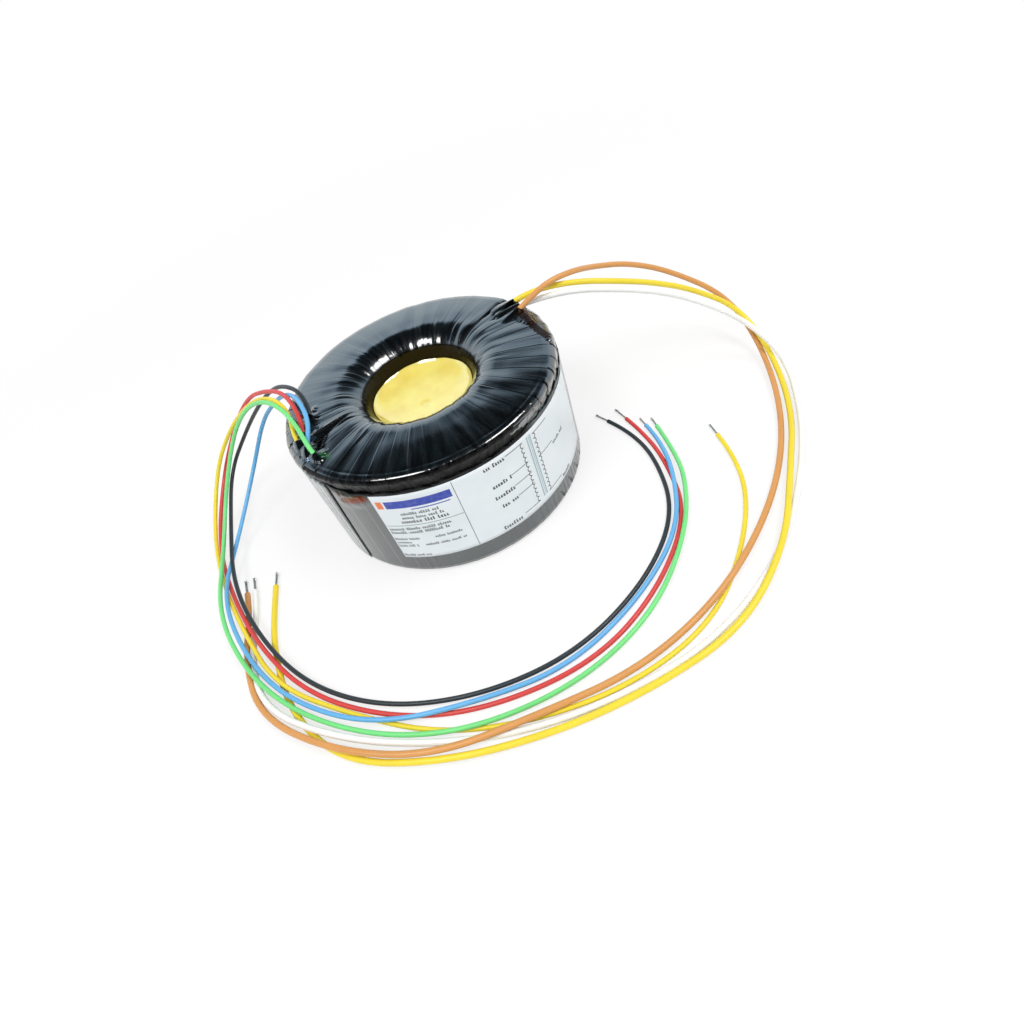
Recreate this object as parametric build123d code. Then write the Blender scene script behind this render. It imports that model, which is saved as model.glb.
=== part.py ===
from build123d import *

import os
from math import atan2, cos, degrees, radians, sin, tan

# Toroidal output transformer, millimetres, +Z up. The origin is on the winding axis, in the plane
# that the finished transformer stands on. It is a strip-wound steel ring, insulated, wound with two
# primary sections and a secondary between them, taped all over, banded and labelled round the side,
# and potted in the hole round a threaded insert. Eight flexible leads come out from under the tape.

# --- steel ring, wound from strip
CORE_OUTER_DIAMETER = 106.0
CORE_INNER_DIAMETER = 69.2
CORE_HEIGHT = 41.5
CORE_EDGE = 1.0  # edge rounding of the deburred ring

# --- build-up over the ring, each measured at the rim
CORE_INSULATION = 0.8
PRIMARY_INNER = 1.1
INSULATION_INNER = 0.4
SECONDARY = 1.4
INSULATION_OUTER = 0.4
PRIMARY_OUTER = 1.3
WRAP = 1.6

# The same turns share a shorter way round at the hole than at the rim, so every layer is thicker
# there. The two factors give its thickness on the flat faces and in the hole, for 1 at the rim.
FACE_CROWDING = 1.25
HOLE_CROWDING = 1.8

# Growth of the corner radii for each millimetre of build-up.
RIM_ROUNDING = 0.643
FOOT_ROUNDING = 0.143
HOLE_ROUNDING = 1.857
HOLE_FOOT_ROUNDING = 1.286

# --- tape laps of the outer wrap
LAP_COUNT = 45
LAP_STEP = 0.45  # height of a lap's proud edge
LAP_FIRST_EDGE = -151.0  # polar angle of one proud edge, degrees

# --- side band and label
GLUE_LINE = 0.03
BAND_THICKNESS = 0.35
BAND_BOTTOM = 2.0
BAND_TOP = 51.0
BAND_END_ANGLE = -140.0  # where its free end lies
BAND_OVERLAP = 34.0  # degrees that the free end laps over its start
LABEL_THICKNESS = 0.15
LABEL_BOTTOM = 11.0
LABEL_TOP = 49.5
LABEL_START_ANGLE = -121.5
LABEL_SPAN = 101.0  # degrees

# --- potting and its insert
RESIN_TOP = 46.8  # at the wall of the hole
RESIN_BOTTOM = 1.5
RESIN_DISH = 0.7  # depth of the meniscus
RESIN_GAP = 0.1  # shrinkage, from the crests of the tape in the hole
INSERT_DIAMETER = 12.0
INSERT_LENGTH = 22.0
INSERT_GROOVE_WIDTH = 3.0
INSERT_GROOVE_DEPTH = 1.0
INSERT_THREAD_CORE = 6.8  # M8, core diameter
INSERT_THREAD_LENGTH = 18.0
INSERT_COUNTERSINK = 0.6

# --- flexible leads
THIN_LEAD = 1.9
THICK_LEAD = 2.5
THIN_STRANDS = 1.1  # bare twisted end
THICK_STRANDS = 1.6
STRIPPED_LENGTH = 8.0
HOOD_WALL = 0.55  # tape drawn over a lead
HOOD_SHARE = 0.7  # of a lead's first run, covered by it
LEAD_CLEARANCE = 0.1
RIM_HUMP_RADIUS = 1.5  # over the lead that runs on along the rim
RIM_HUMP_SINK = 0.8  # of its middle, under the tape's rim
RIM_HUMP_LEAN = 68.0  # from level, about the middle of the rim's corner
RIM_HUMP_START = -12.5
RIM_HUMP_SPAN = 24.0

WOUND = (
    CORE_INSULATION
    + PRIMARY_INNER
    + INSULATION_INNER
    + SECONDARY
    + INSULATION_OUTER
    + PRIMARY_OUTER
)
FINISHED = WOUND + WRAP
FINISHED_RADIUS = CORE_OUTER_DIAMETER / 2 + FINISHED
MIDDLE = CORE_HEIGHT / 2 + FACE_CROWDING * FINISHED

# Routes of the leads from their joint under the tape to the end of the insulation, each a list of
# (x, y, z) corners. The arcs between the straight runs are as large as the runs allow.
PRIMARY_ROUTES = {
    "green": [
        (-45, -31.5, 58), (-47, -27, 59.3), (-48.5, -22, 62), (-51, -12, 63.3), (-56, 1, 65.5),
        (-65, 14, 64.8), (-78, 26, 57), (-93, 33, 42), (-110, 26, 20), (-118.5, 0, 6.5),
        (-120, -38, 6.2), (-105.5, -75.5, 5), (-83.5, -102, 3.4), (-53, -122, 2.5),
        (-19.5, -131.5, 3.3), (19, -128, 1.6), (52, -113, 1.6), (76.5, -87.5, 3),
        (90, -60, 2.4), (93, -37, 1), (93, -24, 1),
    ],
    "black": [
        (-47, -10, 58), (-47, -5, 59.2), (-46, 0, 61.2), (-48, 9, 65.5), (-56, 21, 63.7),
        (-65, 33, 57), (-77, 42, 47), (-94, 52, 30), (-112, 48, 13.6), (-114, 12, 8.6),
        (-113, -24, 6.5), (-101, -58.5, 4.1), (-81, -89.5, 3), (-52, -110, 1.6),
        (-16, -119.5, 1.6), (21, -117, 1.5), (55, -99, 1), (78, -74, 1), (84, -43, 1),
        (81, -21, 1), (75, -9, 1),
    ],
    "blue": [
        (-49.5, -29, 57.3), (-50, -24, 59), (-48, -18.5, 60.2), (-46, -9, 63.4), (-49, 4, 65.9),
        (-56, 18, 61.2), (-66, 31, 52), (-80, 42, 38.5), (-94.5, 32, 21.4), (-112, 6, 5),
        (-119, -28.5, 5.4), (-107, -66.5, 4), (-87.5, -94.5, 3.8), (-57, -116, 3.8),
        (-18.5, -121.5, 2.5), (16, -121, 1.1), (50, -105, 1.2), (75.5, -83, 1.9),
        (86.5, -56, 3.5), (90, -33, 1.7), (89, -21, 1),
    ],
    "red": [
        (-50.6, -19.8, 58.05), (-50.5, -15, 59.1), (-50, -9, 60.3), (-51, 1, 63.2), (-56, 15, 64.2),
        (-66, 28, 60.5), (-79, 42, 53), (-96, 50, 36.5), (-113, 42, 18), (-123, 9, 4.2),
        (-116, -25.5, 2.8), (-101.5, -62.5, 4.3), (-81.5, -93, 2.4), (-50, -115, 1),
        (-16, -125, 1), (25, -123, 1), (57, -105, 1), (82, -77, 1), (87, -47, 1),
        (86, -25, 1), (83, -12, 1),
    ],
    "yellow": [
        (-52.5, -21, 57.8), (-53, -16, 59.1), (-54, -10.5, 60.4), (-54, -1, 62.8),
        (-59, 11, 64.6), (-69, 23, 61.1), (-81, 33, 53), (-97, 42, 39.5), (-114, 42, 22.5),
        (-125, 15, 5.1), (-120.5, -17, 3), (-108.5, -52, 3.8), (-94, -84.5, 3.9),
        (-66, -107, 1.7), (-36, -126.5, 1), (-2, -135.5, 1.2), (35, -136, 1.4), (69, -125, 1),
        (93, -101, 1), (108, -77, 1), (113, -55, 1), (113, -43, 1),
    ],
}
SECONDARY_ROUTES = {
    "brown": [
        (47, 13, 58.3), (52, 14.5, 59.6), (58, 16, 62), (68, 18, 65), (81, 22, 63),
        (93, 32, 55.5), (110, 36, 48.5), (129, 34, 38), (154, 26, 18.4), (158, 2, 4.4),
        (146, -37, 1.9), (128, -69, 1.6), (103, -97, 2.7), (72, -120, 3.6), (37, -132.5, 2.3),
        (0, -135, 4), (-39, -135, 4.2), (-73, -120, 5), (-102, -94, 2.6), (-109.5, -64, 1.3),
        (-107.5, -42, 1.3), (-109, -28, 1.3),
    ],
    "yellow": [
        (45.5, 22, 58.3), (51, 22, 59.5), (57, 21.5, 61), (67, 21, 61.2), (81, 18, 59.6),
        (96, 16, 54.5), (113, 18, 46), (132, 18, 35), (156, 17, 15.3), (158, -10, 4.3),
        (146, -47, 2.2), (126, -78, 2.7), (105, -109, 4.4), (76, -132, 2.2), (39, -140, 1.6),
        (3, -142, 1.8), (-35, -138, 3.1), (-71, -124, 1.8), (-90.5, -96, 1.3),
        (-96.5, -64, 1.3), (-96, -42, 1.3), (-95, -30, 1.3),
    ],
    "white": [
        (46, 17.5, 58.3), (51, 18, 59.1), (57.5, 18.5, 58.9), (68, 18.5, 58), (80, 16, 56.8),
        (94, 13, 52.8), (111, 12, 45.5), (128, 7, 37), (152, 2, 17.6), (161, -18, 4.1),
        (146, -55, 1.7), (126, -85, 1.3), (102, -111, 1.3), (69, -131, 1.3), (35, -138, 1.3),
        (-2, -138.5, 1.3), (-38, -130, 1.3), (-71, -116, 4.6), (-100, -92, 3.9),
        (-106.5, -64, 1.3), (-104, -40, 1.3), (-105, -28, 1.3),
    ],
}


def polar(radius, angle, z=0.0):
    """Point at a radius and a polar angle in degrees."""
    return Vector(radius * cos(radians(angle)), radius * sin(radians(angle)), z)


# --- wound body


def section(build_up, sink=0.0):
    """Radial section of the body over so much build-up, with rim, top and hole sunk by sink."""
    outer = CORE_OUTER_DIAMETER / 2 + build_up - sink
    hole = CORE_INNER_DIAMETER / 2 - HOLE_CROWDING * build_up + sink
    top = MIDDLE + CORE_HEIGHT / 2 + FACE_CROWDING * build_up - sink
    bottom = MIDDLE - CORE_HEIGHT / 2 - FACE_CROWDING * build_up
    corners = [(hole, bottom), (outer, bottom), (outer, top), (hole, top)]
    growth = [HOLE_FOOT_ROUNDING, FOOT_ROUNDING, RIM_ROUNDING, HOLE_ROUNDING]
    radii = [CORE_EDGE + rate * build_up for rate in growth]
    outline = FilletPolyline(*corners, radius=radii, close=True)
    return Plane.XZ * make_face(outline)


def ring(build_up):
    """Solid ring of that section."""
    return revolve(section(build_up), Axis.Z, 360)


def layer(inside, thickness):
    """Closed layer of a thickness over what is already wound."""
    return ring(inside + thickness) - ring(inside)


def lap(index):
    """One lap of tape: a wedge that stands proud at its clockwise edge and sinks away behind it."""
    pitch = 360 / LAP_COUNT
    proud = LAP_FIRST_EDGE + index * pitch
    edges = [Rot(Z=proud) * section(FINISHED), Rot(Z=proud + pitch) * section(FINISHED, LAP_STEP)]
    return loft(edges, ruled=True)


def lapped_skin():
    """Outer form of the taped body."""
    laps = [lap(index) for index in range(LAP_COUNT)]
    return laps[0].fuse(*laps[1:])


# --- leads


def corner_radii(route):
    """Largest arc at each corner: 0.45 of its shorter run, over the tangent of half the turn."""
    points = [Vector(*point) for point in route]
    radii = []
    for before, here, after in zip(points, points[1:], points[2:]):
        arriving = here - before
        leaving = after - here
        half_turn = radians(arriving.get_angle(leaving) / 2)
        radii.append(0.45 * min(arriving.length, leaving.length) / tan(half_turn))
    return radii


def tube(route, diameter):
    """Round tube along a route."""
    path = FilletPolyline(*route, radius=corner_radii(route))
    start = Plane(origin=path @ 0, z_dir=path % 0)
    return sweep(start * Circle(diameter / 2), path=path)


def bare_end(route, strands):
    """Twisted and tinned strands, straight on from the end of the insulation."""
    end, before = Vector(*route[-1]), Vector(*route[-2])
    start = Plane(origin=end, z_dir=end - before)
    stub = extrude(start * Circle(strands / 2), STRIPPED_LENGTH)
    return fillet(stub.edges().sort_by_distance(end)[-1], strands * 0.3)


def hood(route, diameter):
    """Tape drawn tight over the buried start of a lead, with its skirt down to the winding."""
    radius = diameter / 2 + HOOD_WALL
    root, mouth = Vector(*route[0]), Vector(*route[1])
    start = Plane(origin=root, z_dir=mouth - root)
    cover = HOOD_SHARE * (mouth - root).length
    over_lead = extrude(start * Circle(radius), cover)
    ring_middle = (CORE_OUTER_DIAMETER + CORE_INNER_DIAMETER) / 4
    turn = degrees(atan2(root.Y, root.X))
    to_core = polar(ring_middle, turn, MIDDLE) - root
    seat = Plane(origin=root, x_dir=mouth - root, z_dir=to_core)
    outline = seat * Pos(X=cover / 2) * Rectangle(cover, 2 * radius)
    skirt = extrude(outline, to_core.length)
    return over_lead.fuse(Pos(root) * Sphere(radius), skirt)


def rim_hump():
    """Hump of the tape over the stretch of secondary lead that runs on under it, along the rim."""
    corner = CORE_EDGE + RIM_ROUNDING * FINISHED
    reach = corner - RIM_HUMP_SINK
    radius = FINISHED_RADIUS - corner + reach * cos(radians(RIM_HUMP_LEAN))
    height = 2 * MIDDLE - corner + reach * sin(radians(RIM_HUMP_LEAN))
    outline = Plane.XZ * Pos(radius, height) * Circle(RIM_HUMP_RADIUS)
    run = Rot(Z=RIM_HUMP_START) * revolve(outline, Axis.Z, RIM_HUMP_SPAN)
    angles = (RIM_HUMP_START, RIM_HUMP_START + RIM_HUMP_SPAN)
    ends = [Pos(polar(radius, angle, height)) * Sphere(RIM_HUMP_RADIUS) for angle in angles]
    return run.fuse(*ends)


def channel(route, diameter):
    """Room that the buried start of a lead needs in the tape."""
    room = tube(route[:4], diameter + 2 * LEAD_CLEARANCE)
    return room.fuse(Pos(route[0]) * Sphere(diameter / 2 + LEAD_CLEARANCE))


# --- pieces over the body


def outer_wrap(leads):
    """Black polyester tape: lapped outside, hooded over the leads, hollow for the windings."""
    hoods = [hood(route, diameter) for route, diameter in leads]
    wrap = lapped_skin().fuse(*hoods, rim_hump()) - ring(WOUND)
    for route, diameter in leads:
        wrap -= channel(route, diameter)
    return wrap


def arc_shell(inner, thickness, start, span, bottom, top):
    """Part of a cylinder wall, between two polar angles and two heights."""
    height = top - bottom
    wall = Cylinder(inner + thickness, height) - Cylinder(inner, height)
    reach = 2 * (inner + thickness)
    rays = [polar(reach, start + span * share) for share in (0, 0.25, 0.5, 0.75, 1)]
    wedge = extrude(make_face(Polyline((0, 0), *rays, close=True)), height)
    return Pos(Z=bottom) * (Pos(Z=height / 2) * wall & wedge)


def side_band():
    """Film round the side, one full turn whose free end laps over its start."""
    height = BAND_TOP - BAND_BOTTOM
    inner = FINISHED_RADIUS + GLUE_LINE
    outer = inner + BAND_THICKNESS
    turn = Cylinder(outer, height) - Cylinder(inner, height)
    start = BAND_END_ANGLE - BAND_OVERLAP
    middle = BAND_END_ANGLE - BAND_OVERLAP / 2
    free_end = make_face(
        ThreePointArc(polar(outer, start), polar(outer, middle), polar(outer, BAND_END_ANGLE))
        + Line(polar(outer, BAND_END_ANGLE), polar(outer + BAND_THICKNESS, BAND_END_ANGLE))
        + ThreePointArc(
            polar(outer + BAND_THICKNESS, BAND_END_ANGLE),
            polar(outer + BAND_THICKNESS / 2, middle),
            polar(outer, start),
        )
    )
    return Pos(Z=BAND_BOTTOM) * (Pos(Z=height / 2) * turn + extrude(free_end, height))


def label():
    """Printed label on the band."""
    inner = FINISHED_RADIUS + BAND_THICKNESS + 2 * GLUE_LINE
    return arc_shell(
        inner, LABEL_THICKNESS, LABEL_START_ANGLE, LABEL_SPAN, LABEL_BOTTOM, LABEL_TOP
    )


def resin_filling():
    """Resin cast in the hole, dished by its meniscus, round the insert."""
    height = RESIN_TOP - RESIN_BOTTOM
    plug = Pos(Z=RESIN_BOTTOM + height / 2) * Cylinder(CORE_INNER_DIAMETER / 2, height)
    throat = CORE_INNER_DIAMETER / 2 - HOLE_CROWDING * FINISHED
    dish_radius = (throat**2 + RESIN_DISH**2) / (2 * RESIN_DISH)
    dish = Pos(Z=RESIN_TOP - RESIN_DISH + dish_radius) * Sphere(dish_radius)
    return plug - ring(FINISHED + RESIN_GAP / HOLE_CROWDING) - dish - insert_blank()


def insert_blank():
    """Outside of the insert: two collars that key it into the resin, with a groove between."""
    outer = INSERT_DIAMETER / 2
    neck = outer - INSERT_GROOVE_DEPTH
    groove = INSERT_LENGTH / 2
    profile = Polyline(
        (0, 0), (outer, 0), (outer, groove - INSERT_GROOVE_WIDTH / 2),
        (neck, groove - INSERT_GROOVE_WIDTH / 2), (neck, groove + INSERT_GROOVE_WIDTH / 2),
        (outer, groove + INSERT_GROOVE_WIDTH / 2), (outer, INSERT_LENGTH), (0, INSERT_LENGTH),
        close=True,
    )
    return Pos(Z=RESIN_BOTTOM) * revolve(Plane.XZ * make_face(profile), Axis.Z, 360)


def threaded_insert():
    """Brass insert, open at its lower face, with a blind M8 hole at its thread's core diameter."""
    core = INSERT_THREAD_CORE / 2
    hole = Pos(Z=INSERT_THREAD_LENGTH / 2) * Cylinder(core, INSERT_THREAD_LENGTH)
    mouth = Pos(Z=INSERT_COUNTERSINK / 2) * Cone(core + INSERT_COUNTERSINK, core, INSERT_COUNTERSINK)
    return insert_blank() - Pos(Z=RESIN_BOTTOM) * (hole + mouth)


def main():
    os.makedirs("parts", exist_ok=True)
    nodes = {}

    nodes["steel_core"] = ring(0)
    wound = 0.0
    for name, thickness in (
        ("core_insulation", CORE_INSULATION),
        ("primary_winding_inner", PRIMARY_INNER),
        ("insulation_inner", INSULATION_INNER),
        ("secondary_winding", SECONDARY),
        ("insulation_outer", INSULATION_OUTER),
        ("primary_winding_outer", PRIMARY_OUTER),
    ):
        nodes[name] = layer(wound, thickness)
        wound += thickness

    leads = [(route, THIN_LEAD) for route in PRIMARY_ROUTES.values()]
    leads += [(route, THICK_LEAD) for route in SECONDARY_ROUTES.values()]
    nodes["outer_wrap"] = outer_wrap(leads)
    nodes["side_band"] = side_band()
    nodes["label"] = label()
    nodes["threaded_insert"] = threaded_insert()
    nodes["resin_filling"] = resin_filling()

    for side, routes, diameter, strands in (
        ("primary", PRIMARY_ROUTES, THIN_LEAD, THIN_STRANDS),
        ("secondary", SECONDARY_ROUTES, THICK_LEAD, THICK_STRANDS),
    ):
        for colour, route in routes.items():
            print(f"{side} {colour} radii", [round(radius) for radius in corner_radii(route)])
            nodes[f"{side}_lead_{colour}"] = tube(route, diameter)
            nodes[f"{side}_tip_{colour}"] = bare_end(route, strands)

    for name, shape in nodes.items():
        export_step(shape, f"parts/{name}.step")


main()
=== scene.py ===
"""Dressed model of a potted toroidal output transformer.

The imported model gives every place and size. On it this script puts the lapped and wrinkled tape, the film
round the side, the printed label, the cast resin, and the flexible leads with their bare ends.
"""

import logging
import math
from dataclasses import dataclass, field
from enum import Enum

import bmesh
import bpy
import numpy as np
from mathutils import Matrix, Vector
from numpy.typing import NDArray


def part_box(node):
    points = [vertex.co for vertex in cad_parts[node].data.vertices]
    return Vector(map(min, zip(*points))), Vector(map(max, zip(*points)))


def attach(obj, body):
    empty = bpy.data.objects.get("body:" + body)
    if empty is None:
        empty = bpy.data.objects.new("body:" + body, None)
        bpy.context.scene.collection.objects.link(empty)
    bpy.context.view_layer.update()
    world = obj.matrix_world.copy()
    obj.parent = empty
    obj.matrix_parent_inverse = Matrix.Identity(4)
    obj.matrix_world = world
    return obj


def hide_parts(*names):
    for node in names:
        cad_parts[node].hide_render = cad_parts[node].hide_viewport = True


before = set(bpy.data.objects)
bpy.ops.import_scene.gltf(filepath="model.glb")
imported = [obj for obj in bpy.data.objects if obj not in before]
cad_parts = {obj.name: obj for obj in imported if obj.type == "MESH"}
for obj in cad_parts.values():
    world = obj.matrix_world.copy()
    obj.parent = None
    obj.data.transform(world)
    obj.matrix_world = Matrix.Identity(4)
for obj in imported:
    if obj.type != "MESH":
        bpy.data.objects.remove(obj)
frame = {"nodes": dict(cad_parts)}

Array = NDArray[np.float64]
Colour = tuple[float, float, float, float]

log = logging.getLogger("transformer")
MM = 0.001
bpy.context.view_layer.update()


# --- colour, nodes and meshes


def linear(code: str) -> Colour:
    """Turn a colour to linear light.

    Args:
        code: sRGB hex value, such as "#D8E0E4".

    Returns:
        Linear red, green and blue, and an alpha of 1.
    """
    parts = [int(code[index : index + 2], 16) / 255 for index in (1, 3, 5)]
    light = [part / 12.92 if part <= 0.04045 else ((part + 0.055) / 1.055) ** 2.4 for part in parts]
    return (light[0], light[1], light[2], 1.0)


def add_node(tree: bpy.types.NodeTree, kind: str, inputs: dict | None = None, **settings) -> bpy.types.Node:
    """Add a shader node with its settings and links.

    Args:
        tree: node tree that gets it.
        kind: its Blender type.
        inputs: socket name or number to a value, or to the output that feeds it.
        settings: properties of the node itself.

    Returns:
        The node.
    """
    node = tree.nodes.new(kind)
    for name, value in settings.items():
        setattr(node, name, value)
    for socket, value in (inputs or {}).items():
        if isinstance(value, bpy.types.NodeSocket):
            tree.links.new(value, node.inputs[socket])
        else:
            node.inputs[socket].default_value = value
    return node


def grid_faces(rows: int, columns: int, wrap_rows: bool, wrap_columns: bool) -> NDArray[np.int64]:
    """Work out the quads of a grid of points.

    Args:
        rows: points along the first parameter.
        columns: points along the second parameter.
        wrap_rows: join the last row to the first.
        wrap_columns: join the last column to the first.

    Returns:
        Four point numbers for each quad.
    """
    row = np.arange(rows if wrap_rows else rows - 1)[:, None]
    column = np.arange(columns if wrap_columns else columns - 1)[None, :]
    below, after = (row + 1) % rows, (column + 1) % columns
    corners = [row * columns + column, below * columns + column, below * columns + after, row * columns + after]
    return np.stack([np.broadcast_to(corner, (row.size, column.size)) for corner in corners], -1).reshape(-1, 4)


def mesh_piece(name: str, points: Array, faces: list[list[int]], weld: bool = False) -> bpy.types.Object:
    """Make a smooth object at the origin from points in millimetres.

    Args:
        name: name of the piece.
        points: array of x, y, z, in millimetres.
        faces: point numbers of each face.
        weld: join points that coincide, such as those at a pole.

    Returns:
        The object, linked to the scene and riding on the part.
    """
    mesh = bpy.data.meshes.new(name)
    mesh.from_pydata((points.reshape(-1, 3) * MM).tolist(), [], faces)
    if weld:
        shape = bmesh.new()
        shape.from_mesh(mesh)
        bmesh.ops.remove_doubles(shape, verts=shape.verts, dist=1e-7)
        shape.to_mesh(mesh)
        shape.free()
    mesh.polygons.foreach_set("use_smooth", np.full(len(mesh.polygons), True))
    mesh.update()
    piece = bpy.data.objects.new(name, mesh)
    bpy.context.scene.collection.objects.link(piece)
    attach(piece, "root")
    return piece


def store(piece: bpy.types.Object, name: str, values: Array) -> None:
    """Keep a value for each point of a piece, for its material to read.

    Args:
        piece: object with a mesh.
        name: name of the attribute.
        values: three columns for a vector, four for a colour with its amount.
    """
    kind, slot = ("FLOAT_VECTOR", "vector") if values.shape[-1] == 3 else ("FLOAT_COLOR", "color")
    attribute = piece.data.attributes.new(name, kind, "POINT")
    attribute.data.foreach_set(slot, values.astype(np.float32).ravel())


def polar(radius: Array, angle: Array, height: Array) -> Array:
    """Turn cylinder coordinates, with the angle in degrees, to x, y, z."""
    turn = np.radians(angle)
    return np.stack(np.broadcast_arrays(radius * np.cos(turn), radius * np.sin(turn), height), -1)


def fade(value: Array, low: float, high: float) -> Array:
    """Rise smoothly from 0 at low to 1 at high: 3t squared less 2t cubed."""
    share = np.clip((value - low) / (high - low), 0, 1)
    return share * share * (3 - 2 * share)


def paint(tint: Array, share: Array, code: str) -> None:
    """Show a colour where its share is larger than that of what shows there already.

    Args:
        tint: colour and amount of what shows through and of painted light, changed in place.
        share: amount of the new colour, 0 to 1.
        code: sRGB hex value of the new colour.
    """
    tint[..., :3] = np.where((share > tint[..., 3])[..., None], linear(code)[:3], tint[..., :3])
    tint[..., 3] = np.maximum(tint[..., 3], share)


def blacken(tint: Array, share: Array, show: float = 1.0) -> None:
    """Darken the tint, for painted shade and for black tape seen through clear film.

    Args:
        tint: colour and amount of what shows through and of painted light, changed in place.
        share: how dark each point gets, 0 to 1.
        show: amount that the darkest place gets.
    """
    tint[..., :3] *= 1 - share[..., None]
    tint[..., 3] = np.maximum(tint[..., 3], show * share)


# --- finishes


@dataclass(frozen=True)
class Finish:
    """A surface, named for its real material and the way it was made."""

    name: str

    def material(self) -> bpy.types.Material:
        """Return this finish's material, made on its first use.

        Returns:
            The material.
        """
        material = bpy.data.materials.get(self.name)
        if material is None:
            material = bpy.data.materials.new(self.name)
            material.use_nodes = True
            material.node_tree.nodes.clear()
            shader = add_node(material.node_tree, "ShaderNodeBsdfPrincipled")
            add_node(material.node_tree, "ShaderNodeOutputMaterial", {"Surface": shader.outputs[0]})
            self.shade(material.node_tree, shader)
        return material

    def shade(self, tree: bpy.types.NodeTree, shader: bpy.types.Node) -> None:
        """Set the shader and build what feeds it."""
        raise NotImplementedError

    def dress(self, piece: bpy.types.Object, slot: str) -> None:
        """Give a piece this finish.

        Args:
            piece: object that gets it.
            slot: name of the record's material slot; not used.
        """
        piece.data.materials.clear()
        piece.data.materials.append(self.material())

    def speckle(
        self, tree: bpy.types.NodeTree, size_mm: float, detail: float = 2.0, swirl: float = 0.0
    ) -> bpy.types.NodeSocket:
        """Lay a random pattern of a real size over the piece.

        Args:
            tree: node tree that gets it.
            size_mm: size of a patch.
            detail: octaves.
            swirl: how far the patches are drawn out of shape.

        Returns:
            The output that holds it, 0 to 1.
        """
        place = add_node(tree, "ShaderNodeTexCoord").outputs["Object"]
        settings = {"Vector": place, "Scale": 1 / (size_mm * MM), "Detail": detail, "Distortion": swirl}
        return add_node(tree, "ShaderNodeTexNoise", settings).outputs[0]

    def mottle(
        self,
        tree: bpy.types.NodeTree,
        shader: bpy.types.Node,
        pattern: bpy.types.NodeSocket,
        colours: tuple[Colour, Colour],
        spread: tuple[float, float, float] | None = None,
    ) -> None:
        """Colour the surface from one colour to another by a pattern.

        Args:
            tree: node tree that gets it.
            shader: shader that it feeds.
            pattern: output that holds the pattern.
            colours: first and second colour.
            spread: where in the pattern the second colour sets in, where it is full, and its largest share.
        """
        if spread:
            start, stop, most = spread
            limits = {"Value": pattern, "From Min": start, "From Max": stop, "To Max": most}
            pattern = add_node(tree, "ShaderNodeMapRange", limits, clamp=True).outputs[0]
        mixed = add_node(tree, "ShaderNodeMix", {0: pattern, 6: colours[0], 7: colours[1]}, data_type="RGBA")
        tree.links.new(mixed.outputs[2], shader.inputs["Base Color"])

    def roughen(
        self, tree: bpy.types.NodeTree, shader: bpy.types.Node, size_mm: float, strength: float, depth_mm: float
    ) -> None:
        """Give the surface a fine, even grain.

        Args:
            tree: node tree that gets it.
            shader: shader that it feeds.
            size_mm: size of a grain.
            strength: how much of its slope counts, 0 to 1.
            depth_mm: its height.
        """
        grain = {"Height": self.speckle(tree, size_mm), "Strength": strength, "Distance": depth_mm * MM}
        tree.links.new(add_node(tree, "ShaderNodeBump", grain).outputs[0], shader.inputs["Normal"])


@dataclass(frozen=True)
class ThinFilm(Finish):
    """A film so thin that what lies right under it tints it; painted shade and painted reflections ride in the same
    tint.
    """

    def cover(
        self, tree: bpy.types.NodeTree, shader: bpy.types.Node, film: bpy.types.NodeSocket, glossy: bool
    ) -> None:
        """Blend the film's own colour with the colour that each point keeps of what lies under it and of painted light.

        Args:
            tree: node tree that gets it.
            shader: shader that it feeds.
            film: the film's own colour.
            glossy: whether there is a gloss on top, which fades where that kept colour shows.
        """
        beneath = add_node(tree, "ShaderNodeAttribute", attribute_name="beneath")
        tinted = {0: beneath.outputs["Alpha"], 6: film, 7: beneath.outputs["Color"]}
        mixed = add_node(tree, "ShaderNodeMix", tinted, data_type="RGBA")
        tree.links.new(mixed.outputs[2], shader.inputs["Base Color"])
        if glossy:
            gloss = add_node(tree, "ShaderNodeMath", {0: 1.0, 1: beneath.outputs["Alpha"]}, operation="SUBTRACT")
            tree.links.new(gloss.outputs[0], shader.inputs["Coat Weight"])


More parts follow.
